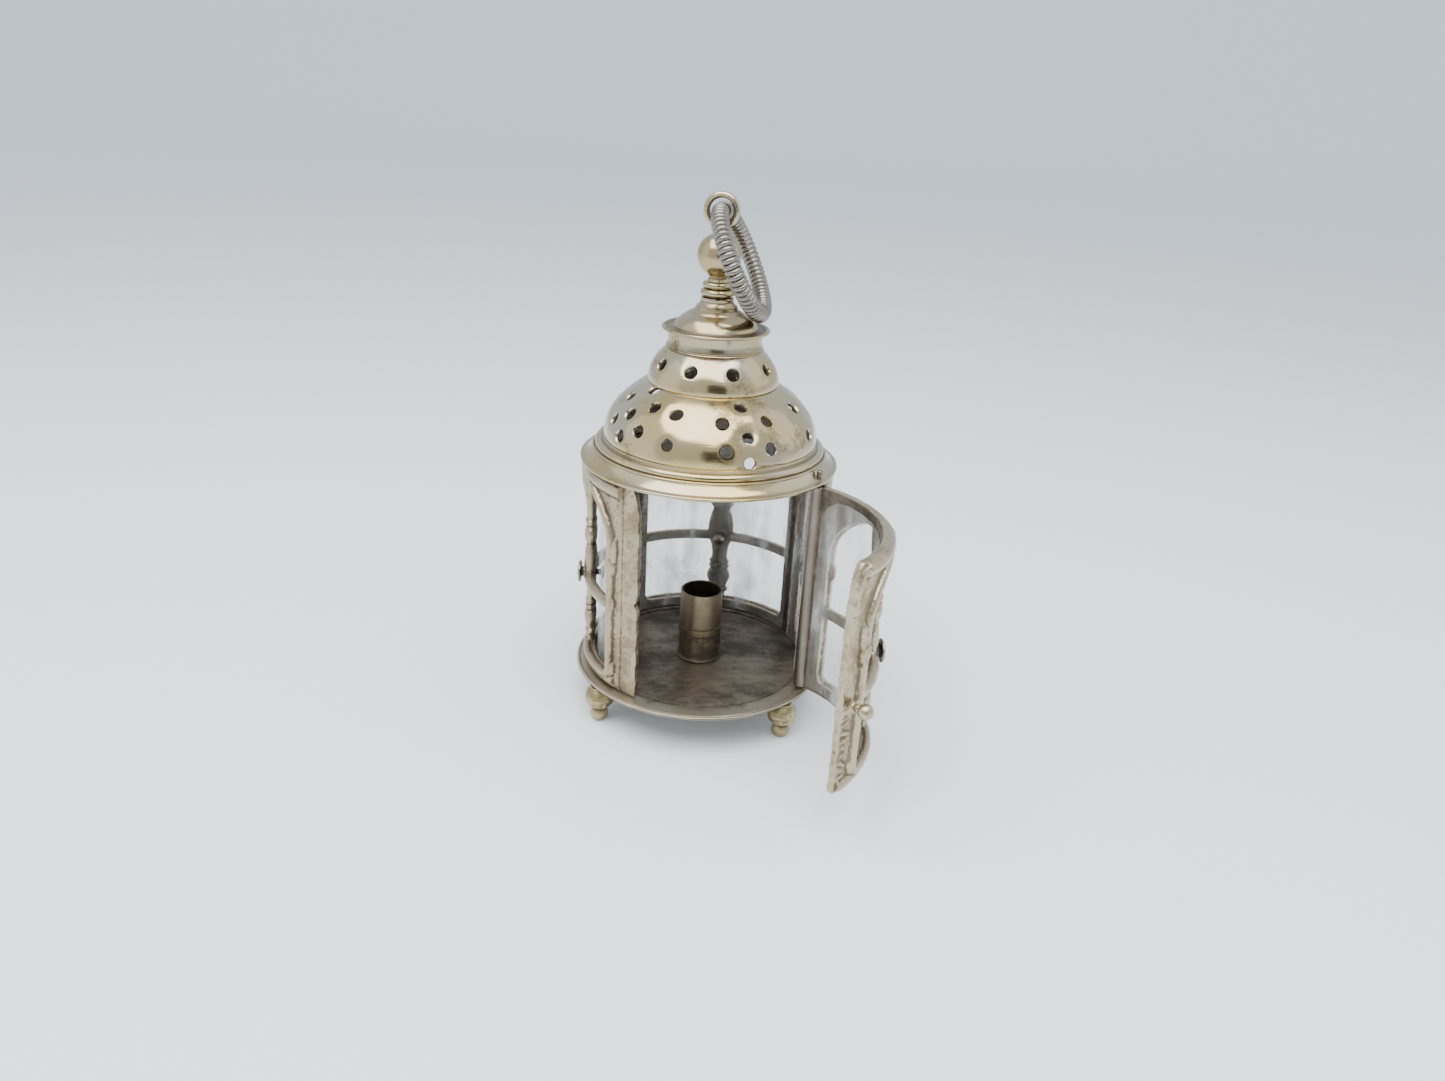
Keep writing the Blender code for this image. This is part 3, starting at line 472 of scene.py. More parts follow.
class Paint:
    """The node tree of one material."""

    def __init__(self, name: str) -> None:
        """Starts a material with a Principled shader and no pattern."""
        self.result = bpy.data.materials.new(name)
        self.result.use_nodes = True
        self.tree = self.result.node_tree
        self.shader = self.tree.nodes["Principled BSDF"]
        self.place = self.node("ShaderNodeTexCoord", {}, {}, "Object")

    def node(self, kind: str, settings: dict, inputs: dict, output: object = 0) -> Val:
        """Adds one node.

        Args:
            kind: the node's type.
            settings: its own settings, set first.
            inputs: values or links of its sockets, by name or number.
            output: name or number of the output to return.

        Returns:
            The chosen output.
        """
        made = self.tree.nodes.new(kind)
        for key, value in settings.items():
            setattr(made, key, value)
        for key, value in inputs.items():
            self.feed(made.inputs[key], value)
        return Val(self, made.outputs[output])

    def feed(self, socket: bpy.types.NodeSocket, value: object) -> None:
        """Links a value to a socket, or sets the socket to it."""
        if isinstance(value, Val):
            self.tree.links.new(value.socket, socket)
        elif value is not None:
            socket.default_value = value

    def set(self, **sockets: object) -> None:
        """Feeds the Principled shader's sockets, named with underscores for spaces."""
        for key, value in sockets.items():
            self.feed(self.shader.inputs[key.replace("_", " ")], value)

    def stretched(self, x: float, y: float, z: float) -> Val:
        """Object coordinates scaled along each axis."""
        return self.node("ShaderNodeMapping", {}, {"Vector": self.place, "Scale": (x, y, z)})

    def noise(self, scale: float, detail: float = 4.0, rough: float = 0.55, place: Val | None = None) -> Val:
        """Cloudy noise around a half; scale counts patches per metre."""
        inputs = {"Vector": place or self.place, "Scale": scale, "Detail": detail, "Roughness": rough}
        return self.node("ShaderNodeTexNoise", {}, inputs, 0)

    def mix(self, share: object, first: object, second: object) -> Val:
        """Blends two colours."""
        made = self.tree.nodes.new("ShaderNodeMix")
        made.data_type = "RGBA"
        self.feed(made.inputs["Factor"], share)
        for socket, value in zip([s for s in made.inputs if s.type == "RGBA"], (first, second)):
            self.feed(socket, value)
        return Val(self, next(s for s in made.outputs if s.type == "RGBA"))

    def wear_and_shade(self) -> Val:
        """The stored proudness: under a half in a hollow, where grime and painted shade go, over a half on a
        ridge.
        """
        settings = {"attribute_type": "GEOMETRY", "attribute_name": Bench.WEAR_AND_SHADE}
        return self.node("ShaderNodeAttribute", settings, {}, "Fac")

    def bump(self, height: Val, strength: float, distance: float) -> Val:
        """A normal that follows a height pattern, distance in metres."""
        return self.node("ShaderNodeBump", {}, {"Height": height, "Strength": strength, "Distance": distance})


Colour = tuple[float, float, float]


def rgba(colour: Colour) -> tuple[float, float, float, float]:
    """Adds full opacity to a colour."""
    return (*colour, 1.0)


@dataclass(frozen=True)
class Finish:
    """A finish with a name of its own, apart from the record's slots. Its material is made once."""

    name: str

    def material(self) -> bpy.types.Material:
        """The finish's material, made on first use."""
        return bpy.data.materials.get(self.name) or self.paint()

    def paint(self) -> bpy.types.Material:
        """Makes the material."""
        raise NotImplementedError


@dataclass(frozen=True)
class OldMetal(Finish):
    """Handled metal: bright on its ridges, duller in patches, and dark in its hollows with grime and painted
    shade.
    """

    bright: Colour
    dull: Colour
    grime_and_shade: Colour
    gloss: float = 0.25
    matt: float = 0.45
    patch_scale: float = 160.0
    patches: float = 0.5
    grime_shade_reach: float = 0.46
    grime_shade_most: float = 0.85
    scratch: float = 0.25
    metal: float = 1.0
    grain: float = 0.0

    def paint(self) -> bpy.types.Material:
        """Makes the metal from patches, grime and painted shade in the hollows, ridges and fine scratches."""
        paint = Paint(self.name)
        patch = paint.noise(self.patch_scale, 5.0, 0.6)
        speck = paint.noise(9.0 * self.patch_scale, 3.0, 0.7)
        worn = paint.wear_and_shade() + (speck - 0.5) * 0.10
        # Grime and painted shade in the hollows: the metal turns darker, rougher and less metallic there.
        hollow = (1.0 - worn.ramp(self.grime_shade_reach - 0.22, self.grime_shade_reach)) * self.grime_shade_most
        ridge = worn.ramp(0.54, 0.75)
        cloud = (patch + (speck - 0.5) * 0.35).ramp(0.62 - 0.3 * self.patches, 0.80 - 0.3 * self.patches)
        share = (cloud * (1.0 - 0.7 * ridge)).clamped()
        colour = paint.mix(share, rgba(self.bright), rgba(self.dull))
        colour = paint.mix((hollow * (0.65 + 0.5 * patch)).clamped(), colour, rgba(self.grime_and_shade))
        fine = paint.noise(2600.0, 2.0, 0.6, paint.stretched(1.0, 1.0, 6.0))
        rough = self.gloss + (self.matt - self.gloss) * share + 0.28 * hollow + (fine - 0.5) * self.scratch
        relief = fine * 0.35 + speck * (0.4 + self.grain)
        paint.set(
            Base_Color=colour,
            Roughness=rough.clamped(),
            Metallic=(self.metal - 0.45 * hollow).clamped(),
            Normal=paint.bump(relief, 0.35 + 0.5 * self.grain, 0.00006),
        )
        return paint.result


@dataclass(frozen=True)
class GiltSilver(OldMetal):
    """Gilded silver whose gold has rubbed through to silver in soft patches."""

    silver: Colour = (0.80, 0.79, 0.75)

    def paint(self) -> bpy.types.Material:
        """Makes the metal, with the rubbed patches over its gilding and grime and painted shade in its
        hollows.
        """
        paint = Paint(self.name)
        rub = paint.noise(70.0, 3.0, 0.5).ramp(0.40, 0.66)
        patch = paint.noise(self.patch_scale, 5.0, 0.6)
        speck = paint.noise(2200.0, 4.0, 0.7)
        worn = paint.wear_and_shade() + (speck - 0.5) * 0.08
        # Grime and painted shade in the hollows: the gilding turns darker, rougher and less metallic there.
        hollow = (1.0 - worn.ramp(self.grime_shade_reach - 0.20, self.grime_shade_reach)) * self.grime_shade_most
        colour = paint.mix(rub, rgba(self.bright), rgba(self.silver))
        stain = (patch + (speck - 0.5) * 0.4).ramp(0.56, 0.72) * self.patches
        colour = paint.mix(stain.clamped(), colour, rgba(self.dull))
        colour = paint.mix((hollow * (0.7 + 0.4 * patch)).clamped(), colour, rgba(self.grime_and_shade))
        brushed = paint.noise(900.0, 3.0, 0.6, paint.stretched(0.25, 0.25, 5.0))
        rough = self.gloss + 0.16 * stain + 0.25 * hollow + (brushed - 0.5) * self.scratch
        paint.set(
            Base_Color=colour,
            Roughness=rough.clamped(),
            Metallic=(1.0 - 0.4 * hollow).clamped(),
            Normal=paint.bump(brushed * 0.5 + speck * 0.25 + patch * 0.6, 0.30, 0.00008),
        )
        return paint.result


@dataclass(frozen=True)
class StainedPlate(OldMetal):
    """Sheet metal darkened by candle smoke, with paler rubbed ridges and drifting stains."""

    def paint(self) -> bpy.types.Material:
        """Makes the sheet from broad stains, streaks and specks, with grime and painted shade in its hollows.
        """
        paint = Paint(self.name)
        broad = paint.noise(75.0, 6.0, 0.62)
        drift = paint.noise(190.0, 5.0, 0.65, paint.stretched(1.0, 2.2, 1.0))
        speck = paint.noise(1500.0, 4.0, 0.7)
        worn = paint.wear_and_shade()
        # Grime and painted shade in the hollows, such as the scribed lines.
        hollow = (1.0 - worn.ramp(0.30, 0.47)) * self.grime_shade_most
        edge = worn.ramp(0.56, 0.72)
        stain = (broad * 0.6 + drift * 0.4 + (speck - 0.5) * 0.2).ramp(0.40, 0.62)
        colour = paint.mix(stain, rgba(self.grime_and_shade), rgba(self.dull))
        colour = paint.mix(hollow.clamped(), colour, rgba(self.grime_and_shade))
        colour = paint.mix(edge, colour, rgba(self.bright))
        shine = 0.6 * stain + 0.4 * edge
        rough = self.matt - (self.matt - self.gloss) * shine + (speck - 0.5) * self.scratch
        paint.set(
            Base_Color=colour,
            Roughness=rough.clamped(),
            Metallic=(0.72 + 0.28 * edge).clamped(),
            Normal=paint.bump(drift * 0.7 + speck * 0.4, 0.35, 0.0001),
        )
        return paint.result


@dataclass(frozen=True)
class Mica(Finish):
    """Clear mica sheet with a faint haze, drips and scratches."""

    tint: Colour
    clear: float
    hazy: float

    def paint(self) -> bpy.types.Material:
        """Makes the sheet mostly clear, with upright streaks of haze."""
        paint = Paint(self.name)
        streak = paint.noise(260.0, 5.0, 0.6, paint.stretched(1.0, 1.0, 0.22))
        cloud = paint.noise(120.0, 4.0, 0.6)
        speck = paint.noise(1800.0, 3.0, 0.8)
        cells = {"Vector": self.warped(paint), "Scale": 150.0}
        crack = paint.node("ShaderNodeTexVoronoi", {"feature": "DISTANCE_TO_EDGE"}, cells)
        line = (1.0 - crack.ramp(0.0, 0.03)) * cloud.ramp(0.50, 0.62)
        haze = (streak * 0.6 + cloud * 0.4).ramp(0.42, 0.68) + 0.45 * line + (speck - 0.5) * 0.15
        alpha = self.clear + (self.hazy - self.clear) * haze
        colour = paint.mix(haze.clamped(), rgba((0.55, 0.53, 0.48)), rgba(self.tint))
        paint.set(
            Base_Color=colour,
            Roughness=(0.10 + 0.35 * haze).clamped(),
            Alpha=alpha.clamped(),
            Normal=paint.bump(streak * 0.8 + cloud, 0.25, 0.00012),
        )
        paint.shader.inputs["Specular IOR Level"].default_value = 0.55
        paint.result.surface_render_method = "BLENDED"
        return paint.result

    @staticmethod
    def warped(paint: Paint) -> Val:
        """Object coordinates pushed about by noise, so that cracks wander."""
        cloud = {"Vector": paint.place, "Scale": 240.0, "Detail": 3.0}
        push = paint.node("ShaderNodeTexNoise", {}, cloud, "Color")
        shift = paint.node("ShaderNodeVectorMath", {"operation": "SCALE"}, {0: push, "Scale": 0.006})
        long = paint.stretched(1.0, 1.0, 0.35)
        return paint.node("ShaderNodeVectorMath", {"operation": "ADD"}, {0: long, 1: shift})


@dataclass(frozen=True)
class Paper(Finish):
    """Seamless studio paper, with next to no pattern."""

    tint: Colour

    def paint(self) -> bpy.types.Material:
        """Makes the paper."""
        paint = Paint(self.name)
        fibre = paint.noise(900.0, 3.0)
        colour = paint.mix(fibre, rgba(self.tint), rgba(tuple(0.985 * c for c in self.tint)))
        paint.set(Base_Color=colour, Roughness=0.75)
        return paint.result


GILT = GiltSilver(
    "gilt_silver", (0.48, 0.37, 0.175), (0.21, 0.155, 0.065), (0.08, 0.055, 0.028),
    gloss=0.17, patches=0.85, scratch=0.14, silver=(0.49, 0.43, 0.325),
)
GILT_DARK = GiltSilver(
    "gilt_silver_handled", (0.40, 0.305, 0.13), (0.165, 0.12, 0.055), (0.05, 0.035, 0.018),
    gloss=0.20, patches=0.95, scratch=0.2, silver=(0.38, 0.325, 0.23),
)
GILT_FEET = OldMetal(
    "gilt_feet", (0.45, 0.37, 0.205), (0.25, 0.20, 0.10), (0.07, 0.05, 0.03), gloss=0.26, matt=0.46,
    patch_scale=420.0, patches=0.8, grain=0.5,
)
CAST = OldMetal(
    "worn_cast_silver", (0.43, 0.35, 0.235), (0.29, 0.23, 0.15), (0.075, 0.055, 0.038), gloss=0.33, matt=0.52,
    patch_scale=260.0, patches=0.6, grime_shade_reach=0.49, grime_shade_most=0.95, grain=0.8, scratch=0.3,
)
CAST_DOOR = OldMetal(
    "cast_silver_door", (0.47, 0.395, 0.27), (0.31, 0.24, 0.145), (0.11, 0.075, 0.045), gloss=0.29, matt=0.48,
    patch_scale=230.0, patches=0.6, grime_shade_reach=0.46, grime_shade_most=0.8, grain=0.7, scratch=0.3,
)
# Painted shade: a dark finish for the faces turned inwards (frame backs, hole walls, the roof's inside),
# standing in for the shade inside the lantern.
INNER_SHADE = OldMetal(
    "painted_shade_inside", (0.15, 0.12, 0.09), (0.085, 0.063, 0.046), (0.04, 0.03, 0.022), gloss=0.40, matt=0.60,
    patch_scale=240.0, patches=0.8, grain=0.5, metal=0.7,
)
PLATE = StainedPlate(
    "stained_plate", (0.50, 0.44, 0.33), (0.235, 0.195, 0.145), (0.07, 0.055, 0.042), gloss=0.32, matt=0.54,
    scratch=0.2,
)
BRASS = OldMetal(
    "smoked_brass", (0.23, 0.185, 0.12), (0.10, 0.082, 0.06), (0.03, 0.025, 0.02), gloss=0.36, matt=0.56,
    patch_scale=210.0, patches=0.85, scratch=0.2,
)
OXIDE = OldMetal(
    "wound_silver", (0.255, 0.23, 0.20), (0.14, 0.125, 0.105), (0.02, 0.018, 0.016), gloss=0.27, matt=0.44,
    patch_scale=300.0, patches=0.5, grime_shade_reach=0.54, grime_shade_most=1.0,
)
COPPERED = OldMetal(
    "coppered_silver", (0.24, 0.205, 0.165), (0.15, 0.112, 0.085), (0.05, 0.036, 0.028),
    gloss=0.34, matt=0.54, patch_scale=240.0, patches=0.8, grain=0.5,
)
MICA = Mica("old_mica", (0.80, 0.81, 0.81), 0.08, 0.46)
PAPER = Paper("studio_paper", (0.88, 0.92, 0.945))


@dataclass
class Base:
    """The round base plate, its four ball feet and the candle socket."""

    radius: float = 18.98
    top: float = 0.6
    pad_depth: float = 0.1
    feet: tuple[str, ...] = ("foot_front_left", "foot_front_right", "foot_back_right", "foot_back_left")
    socket_foot: float = 0.9
    socket_height: float = 11.0
    bore: float = 2.9
    bore_depth: float = 9.6

    def plate(self) -> None:
        """The plate: a rolled edge with two fine lines, and a ring scribed under the frames' feet."""
        edge, top = self.radius, self.top
        profile = [
            (0, 0.0), (12.9, 0.0), (13.1, self.pad_depth), (edge - 0.9, self.pad_depth),
            (edge - 0.30, 0.12), (edge - 0.06, 0.20), (edge, 0.29), (edge - 0.10, 0.345),
            (edge - 0.10, 0.375), (edge - 0.01, 0.43), (edge - 0.03, 0.52), (edge - 0.14, 0.585),
            (edge - 0.30, top), (edge - 0.42, top - 0.09), (edge - 0.54, top), (edge - 1.1, top),
            (16.2, top - 0.02), (15.9, top - 0.13), (15.6, top - 0.03), (14.4, top - 0.03),
            (11.0, top - 0.10), (7.0, top - 0.05), (3.8, top - 0.02), (0, top - 0.02),
        ]
        plate = Bench.turn("base_sheet", profile, 144)
        Bench.apply(plate, "TRIANGULATE")
        Bench.roughen(plate, 0.035, 3.5, 1.0)
        Bench.finish(plate, Body.LANTERN, PLATE, "tarnished_silver", ["base_plate"])

    def foot(self, node: str, index: int) -> None:
        """One cast foot: a ball with a worn leaf band, a neck and a smaller ball."""
        low, high = (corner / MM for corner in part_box(node))
        centre = (low + high) / 2
        sole, top = low.z, high.z
        ball = top - 1.75
        profile = [
            (0, top), (1.35, top), (1.5, top - 0.15), *arc((0, ball), 2.13, 48, 8, 4), (2.17, ball + 0.08),
            (2.17, ball - 0.12), *arc((0, ball), 2.12, -10, -58, 6), (1.0, sole + 2.16),
            (1.02, sole + 2.04), *arc((0, sole + 1.12), 1.34, 42, -56, 8), (0.74, sole), (0, sole),
        ]
        foot = Bench.turn("foot_ball_" + node.removeprefix("foot_"), profile, 40)
        reach, half = 1.75, (0.42, 0.42, 0.85)
        leaves = [
            Bench.bud("leaf", Vector((reach * math.cos(turn), reach * math.sin(turn), ball - 0.45)), half)
            for turn in np.radians(np.arange(6) * 60 + 25 * index)
        ]
        foot = Bench.cast(foot.name, [foot, *leaves], 0.10, 5)
        flat = [v for v in foot.data.vertices if v.co.z < sole + 0.02]
        for vertex in flat:
            vertex.co.z = sole
        foot.data.transform(Matrix.Translation((centre.x, centre.y, 0)))
        Bench.roughen(foot, 0.07, 1.1, 3.0 + index)
        for vertex in foot.data.vertices:
            vertex.co.z = max(vertex.co.z, sole)
        Bench.finish(foot, Body.LANTERN, GILT_FEET, "silver_gilt", [node])

    def socket(self) -> None:
        """The candle socket: a drawn tube with a collar, standing in a low fillet of solder."""
        foot, top = self.socket_foot, self.socket_foot + self.socket_height
        bore, wall = self.bore, self.bore + 0.33
        band = foot + 4.0
        profile = [
            (0, top - self.bore_depth), (bore - 0.3, top - self.bore_depth),
            (bore, top - self.bore_depth + 0.3), (bore, top - 0.06), (bore + 0.06, top), (wall - 0.06, top),
            (wall, top - 0.07), (wall, band + 1.45), (wall - 0.07, band + 1.38), (wall - 0.07, band + 1.30),
            (wall + 0.13, band + 1.20), (wall + 0.15, band + 0.75), (wall + 0.13, band + 0.25),
            (wall - 0.05, band + 0.14), (wall - 0.05, band + 0.04), (wall, band), (wall, foot + 0.5),
            (wall + 0.08, foot + 0.22), (wall + 0.22, foot), (0, foot),
        ]
        socket = Bench.turn("candle_tube", profile, 72)
        Bench.roughen(socket, 0.02, 1.6, 9.0)
        Bench.finish(socket, Body.LANTERN, BRASS, "dark_brass", ["candle_socket"], 28.0)

    def build(self) -> None:
        """Makes every piece of the base."""
        self.plate()
        for index, node in enumerate(self.feet):
            self.foot(node, index)
        self.socket()


@dataclass
class Window:
    """One cast window frame, modelled flat and then bent round the body.

    Flat, X runs along the frame from its middle, Z is the height above its foot, and -Y faces outwards.
    """

    name: str
    node: str
    start: float
    end: float
    inner: float = 16.2
    thickness: float = 1.3
    start_margin: float = 0.0
    end_margin: float = 0.0
    start_inset: float = 1.7
    end_inset: float = 1.7
    lap: float | None = None
    lap_radius: float = 16.9
    body: Body = Body.LANTERN
    finish: Finish = CAST
    seed: float = 1.0
    foot: float = 0.9
    height: float = 31.9
    rail: float = 1.8
    bar: float = 13.1
    stile: float = 2.3
    spring: float = 22.5
    crown: float = 30.4
    shoulder: float = 25.3

    @property
    def bend(self) -> float:
        """Radius of the frame's middle once bent."""
        return self.inner + self.thickness / 2

    def flat(self, azimuth: float) -> float:
        """Distance along the flat frame from its middle."""
        return math.radians(azimuth - (self.start + self.end) / 2) * self.bend

    @property
    def mullion(self) -> float:
        """Where the mullion stands along the flat frame."""
        return (self.flat(self.start + self.start_margin) + self.flat(self.end - self.end_margin)) / 2

    @property
    def half_span(self) -> float:
        """Half the width of the frame's opening."""
        left, right = self.flat(self.start + self.start_margin), self.flat(self.end - self.end_margin)
        return (right - left) / 2 - self.stile

    def outline(self) -> list[Vector]:
        """The flat frame's outer edge, with its rounded shoulders."""
        left, right = self.flat(self.start), self.flat(self.end)
        rise = self.height - self.shoulder
        turns = [math.radians(90) * step / 8 for step in range(9)]
        points = [(left, 0.0), (right, 0.0)]
        curve = [(1 - math.cos(t), self.shoulder + rise * math.sin(t)) for t in turns]
        points += [(right - self.end_inset * share, z) for share, z in curve]
        points += [(left + self.start_inset * share, z) for share, z in curve[::-1]]
        return [Vector((x, 0, z)) for x, z in points]

    def opening(self, grow: float = 0.0, steps: int = 20) -> list[Vector]:
        """The arched opening's edge, grown outwards by a distance."""
        half, foot = self.half_span + grow, self.rail - grow
        rise = self.crown - self.spring + grow
        turns = [math.pi * step / steps for step in range(steps + 1)]
        sides = [(-half, foot + 1.2), (-half + 0.35, foot + 0.35), (-half + 1.2, foot)]
        points = [*sides, *[(-x, z) for x, z in sides[::-1]], (half, 0.5 * self.spring)]
        points += [(half * math.cos(t), self.spring + rise * math.sin(t)) for t in turns]
        points.append((-half, 0.5 * self.spring))
        return [Vector((self.mullion + x, 0, z)) for x, z in points]

    def plate(self) -> bpy.types.Object:
        """The frame's flat ground, with one arched opening."""
        edge = Bench.trace(self.name + "_edge", self.outline(), closed=True)
        hole = Bench.trace(self.name + "_hole", self.opening(), closed=True)
        plate = Bench.join(self.name + "_plate", [edge, hole])
        plate.data.transform(Matrix.Rotation(math.radians(-90), 4, "X"))
        Bench.pick(plate)
        bpy.ops.object.convert(target="CURVE")
        plate = bpy.context.object
        plate.data.dimensions = "2D"
        plate.data.fill_mode = "BOTH"
        plate.data.extrude = self.thickness / 2 - 0.12
        bpy.ops.object.convert(target="MESH")
        plate = bpy.context.object
        bpy.ops.object.mode_set(mode="EDIT")
        Bench.weld()
        plate.data.transform(Matrix.Rotation(math.radians(90), 4, "X"))
        plate.data.transform(Matrix.Translation((0, 0.12, 0)))
        return plate

    def baluster(self) -> bpy.types.Object:
        """The turned mullion: a slim shaft with bulbs and collars, flattened front to back."""
        sections = [
            (1.55, 0.9), (1.30, 2.1), (1.28, 2.9), (1.72, 3.25), (1.72, 3.7), (1.36, 4.0), (1.75, 5.0),
            (1.98, 5.8), (1.80, 6.7), (1.38, 7.25), (1.70, 7.5), (1.70, 7.85), (1.38, 8.1), (1.66, 8.4),
            (1.66, 8.75), (1.32, 9.1), (1.34, 10.4), (1.55, 11.5), (1.95, 12.6), (2.15, 13.6),
            (2.12, 14.9), (1.90, 16.4), (1.52, 17.7), (1.40, 18.1), (1.80, 18.6), (2.10, 19.5),
            (1.85, 20.5), (1.42, 21.0), (1.86, 21.35), (1.86, 21.8), (1.42, 22.2), (1.50, 23.6),
            (1.85, 25.2), (2.45, 27.0), (2.80, 28.6), (2.95, 30.9),
        ]
        limit = self.half_span * 0.62
        profile = [(0, 0.9), *fair([(min(r, limit), z) for r, z in sections], 3), (0, 30.9)]
        baluster = Bench.turn(self.name + "_baluster", profile, 24)
        baluster.data.transform(
            Matrix.Translation((self.mullion, -0.12, 0)) @ Matrix.Diagonal((1.0, 0.50, 1.0, 1.0))
        )
        return baluster

    def rails(self) -> list[bpy.types.Object]:
        """The half-round bars: the foot rail, the crossbar, the top band and the arch's moulding."""
        left, right = self.flat(self.start), self.flat(self.end)
        inner = self.flat(self.end) if self.lap is None else self.flat(self.lap) - 0.5
        top_left, top_right = left + self.start_inset, right - self.end_inset
        reach = self.half_span + 0.6
        bars = [
            ([(left + 0.6, -0.15, 0.92), (inner - 0.6, -0.15, 0.92)], 0.88),
            ([(self.mullion - reach, -0.25, self.bar), (self.mullion + reach, -0.25, self.bar)], 0.84),
            ([(top_left + 0.4, -0.15, self.height - 1.1), (top_right - 0.4, -0.15, self.height - 1.1)], 1.1),
        ]
        made = []
        for index, (ends, radius) in enumerate(bars):
            first, last = Vector(ends[0]), Vector(ends[1])
            line = [first.lerp(last, step / 24) for step in range(25)]
            made.append(Bench.sweep(f"{self.name}_bar_{index}", line, radius))
        moulding = [Vector((p.x, -0.58, p.z)) for p in self.opening(0.34, 28)]
        made.append(Bench.sweep(self.name + "_moulding", moulding, 0.60, closed=True))
        return made

    def shoulders(self) -> list[bpy.types.Object]:
        """The rounded mouldings that run down the frame's shoulders."""
        made = []
        rise = self.height - self.shoulder - 0.9
        ends = ((1, self.flat(self.start), self.start_inset), (-1, self.flat(self.end), self.end_inset))
        for side, edge, inset in ends:
            if inset == 0:
                continue
            turns = [math.radians(90) * step / 10 for step in range(11)]
            path = [
                Vector((
                    edge + side * (0.5 + inset * (1 - math.cos(t))),
                    -0.35,
                    self.shoulder + rise * math.sin(t),
                ))
                for t in turns
            ]
            made.append(Bench.sweep(self.name + "_shoulder", path, 0.55))
        return made

    def leaves(self) -> list[bpy.types.Object]:
        """The leaf buds on the stiles, where the arch springs, with their drawn-out tips."""
        made = []
        for side in (-1, 1):
            x = self.mullion + side * (self.half_span + 0.35)
            for out, proud, level, half, tilt in (
                (0.0, 0.62, self.spring - 3.1, (1.05, 0.72, 1.8), -6),
                (0.6, 0.50, self.spring - 1.2, (0.62, 0.5, 2.6), 8),
                (0.2, 0.50, self.rail + 0.9, (0.85, 0.5, 1.5), 20),
                (0.1, 0.50, self.bar + 0.2, (0.8, 0.5, 1.7), 4),
            ):
                made.append(Bench.bud("leaf", Vector((x + side * out, -proud, level)), half, side * tilt))
        return made

    def tooling(self) -> bpy.types.Object:
        """Rows of small slanting ridges tooled down both stiles."""
        line = [Vector((-0.75, 0, -0.22)), Vector((0, 0, 0.02)), Vector((0.75, 0, 0.22))]
        stroke = Bench.sweep("stroke", line, 0.17)
        face = -self.thickness / 2 + 0.08
        copies = []
        for side, edge in ((-1, self.flat(self.start)), (1, self.flat(self.end))):
            lapped = side > 0 and self.lap is not None
            x = edge - side * 1.05
            depth = face + 0.62 if lapped else face
            for step in range(30):
                phase = 2.3 * step + self.seed
                if math.sin(phase) > 0.35 or (self.body is Body.DOOR and step > 15):
                    continue
                z = 1.6 + 0.78 * step + 0.22 * math.sin(4.7 * phase)
                turn = Matrix.Rotation(math.radians(-side * 30 + 24 * math.sin(1.9 * phase)), 4, "Y")
                grow = Matrix.Scale(0.85 + 0.40 * math.sin(3.1 * phase), 4)
                place = Matrix.Translation((x + 0.22 * math.sin(2.9 * phase), depth, z)) @ turn @ grow
                copies.append(Bench.copy(stroke, "stroke", place))
        bpy.data.objects.remove(stroke)
        return Bench.join(self.name + "_tooling", copies)

    def bent(self, obj: bpy.types.Object) -> None:
        """Flattens the back of the casting, files its lap and foot, and bends it round the body."""
        middle = (self.start + self.end) / 2
        left, right = self.flat(self.start), self.flat(self.end)
        for vertex in obj.data.vertices:
            x, y, z = vertex.co
            near_left, near_right = max(1 - (x - left) / 0.9, 0.0), max(1 - (right - x) / 0.9, 0.0)
            wave = 0.08 * (1 + math.sin(1.7 * z + self.seed)) + 0.04 * (1 + math.sin(4.1 * z + 2 * self.seed))
            notch = 0.0 if self.lap is None else 0.55 * math.exp(-(((z - self.bar - 1.4) / 0.4) ** 2))
            x += near_left * wave - near_right * (wave + notch)
            azimuth = middle + math.degrees(x / self.bend)
            radius = self.bend - min(y, self.thickness / 2 - 0.02)
            if self.lap is not None and azimuth > self.lap:
                radius = min(radius, self.lap_radius + 0.12)
            z = min(max(z, 0.0), self.height)
            vertex.co = polar(radius, azimuth, self.foot + z)

    def build(self) -> None:
        """Casts the frame, bends it and puts it in place."""
        parts = [self.plate(), self.baluster(), *self.rails()]
        parts += [*self.shoulders(), *self.leaves(), self.tooling()]
        frame_piece = Bench.cast(self.name, parts, 0.15, 4)
        self.bent(frame_piece)
        Bench.roughen(frame_piece, 0.05, 1.3, self.seed)
        Bench.roughen(frame_piece, 0.035, 0.45, self.seed + 5)
        # The inward faces take the dark painted shade finish.
        Bench.mark_inner(frame_piece, from_axis, Bench.TURNED_AWAY)
        if self.body is Body.DOOR:
            frame_piece.data.transform(DOOR_OPEN)
        Bench.finish(frame_piece, self.body, self.finish, "cast_silver", [self.node], 50.0, INNER_SHADE)


HINGE_RADIUS = 17.7
HINGE_AZIMUTH = 62.5
HINGE = polar(HINGE_RADIUS, HINGE_AZIMUTH, 0.0)
LAID_OUTWARDS = Matrix.Rotation(math.radians(90), 4, "X")
DOOR_ANGLE = 83.5
DOOR_SWING = Matrix.Rotation(math.radians(DOOR_ANGLE), 4, "Z")
DOOR_OPEN = Matrix.Translation(HINGE) @ DOOR_SWING @ Matrix.Translation(-HINGE)


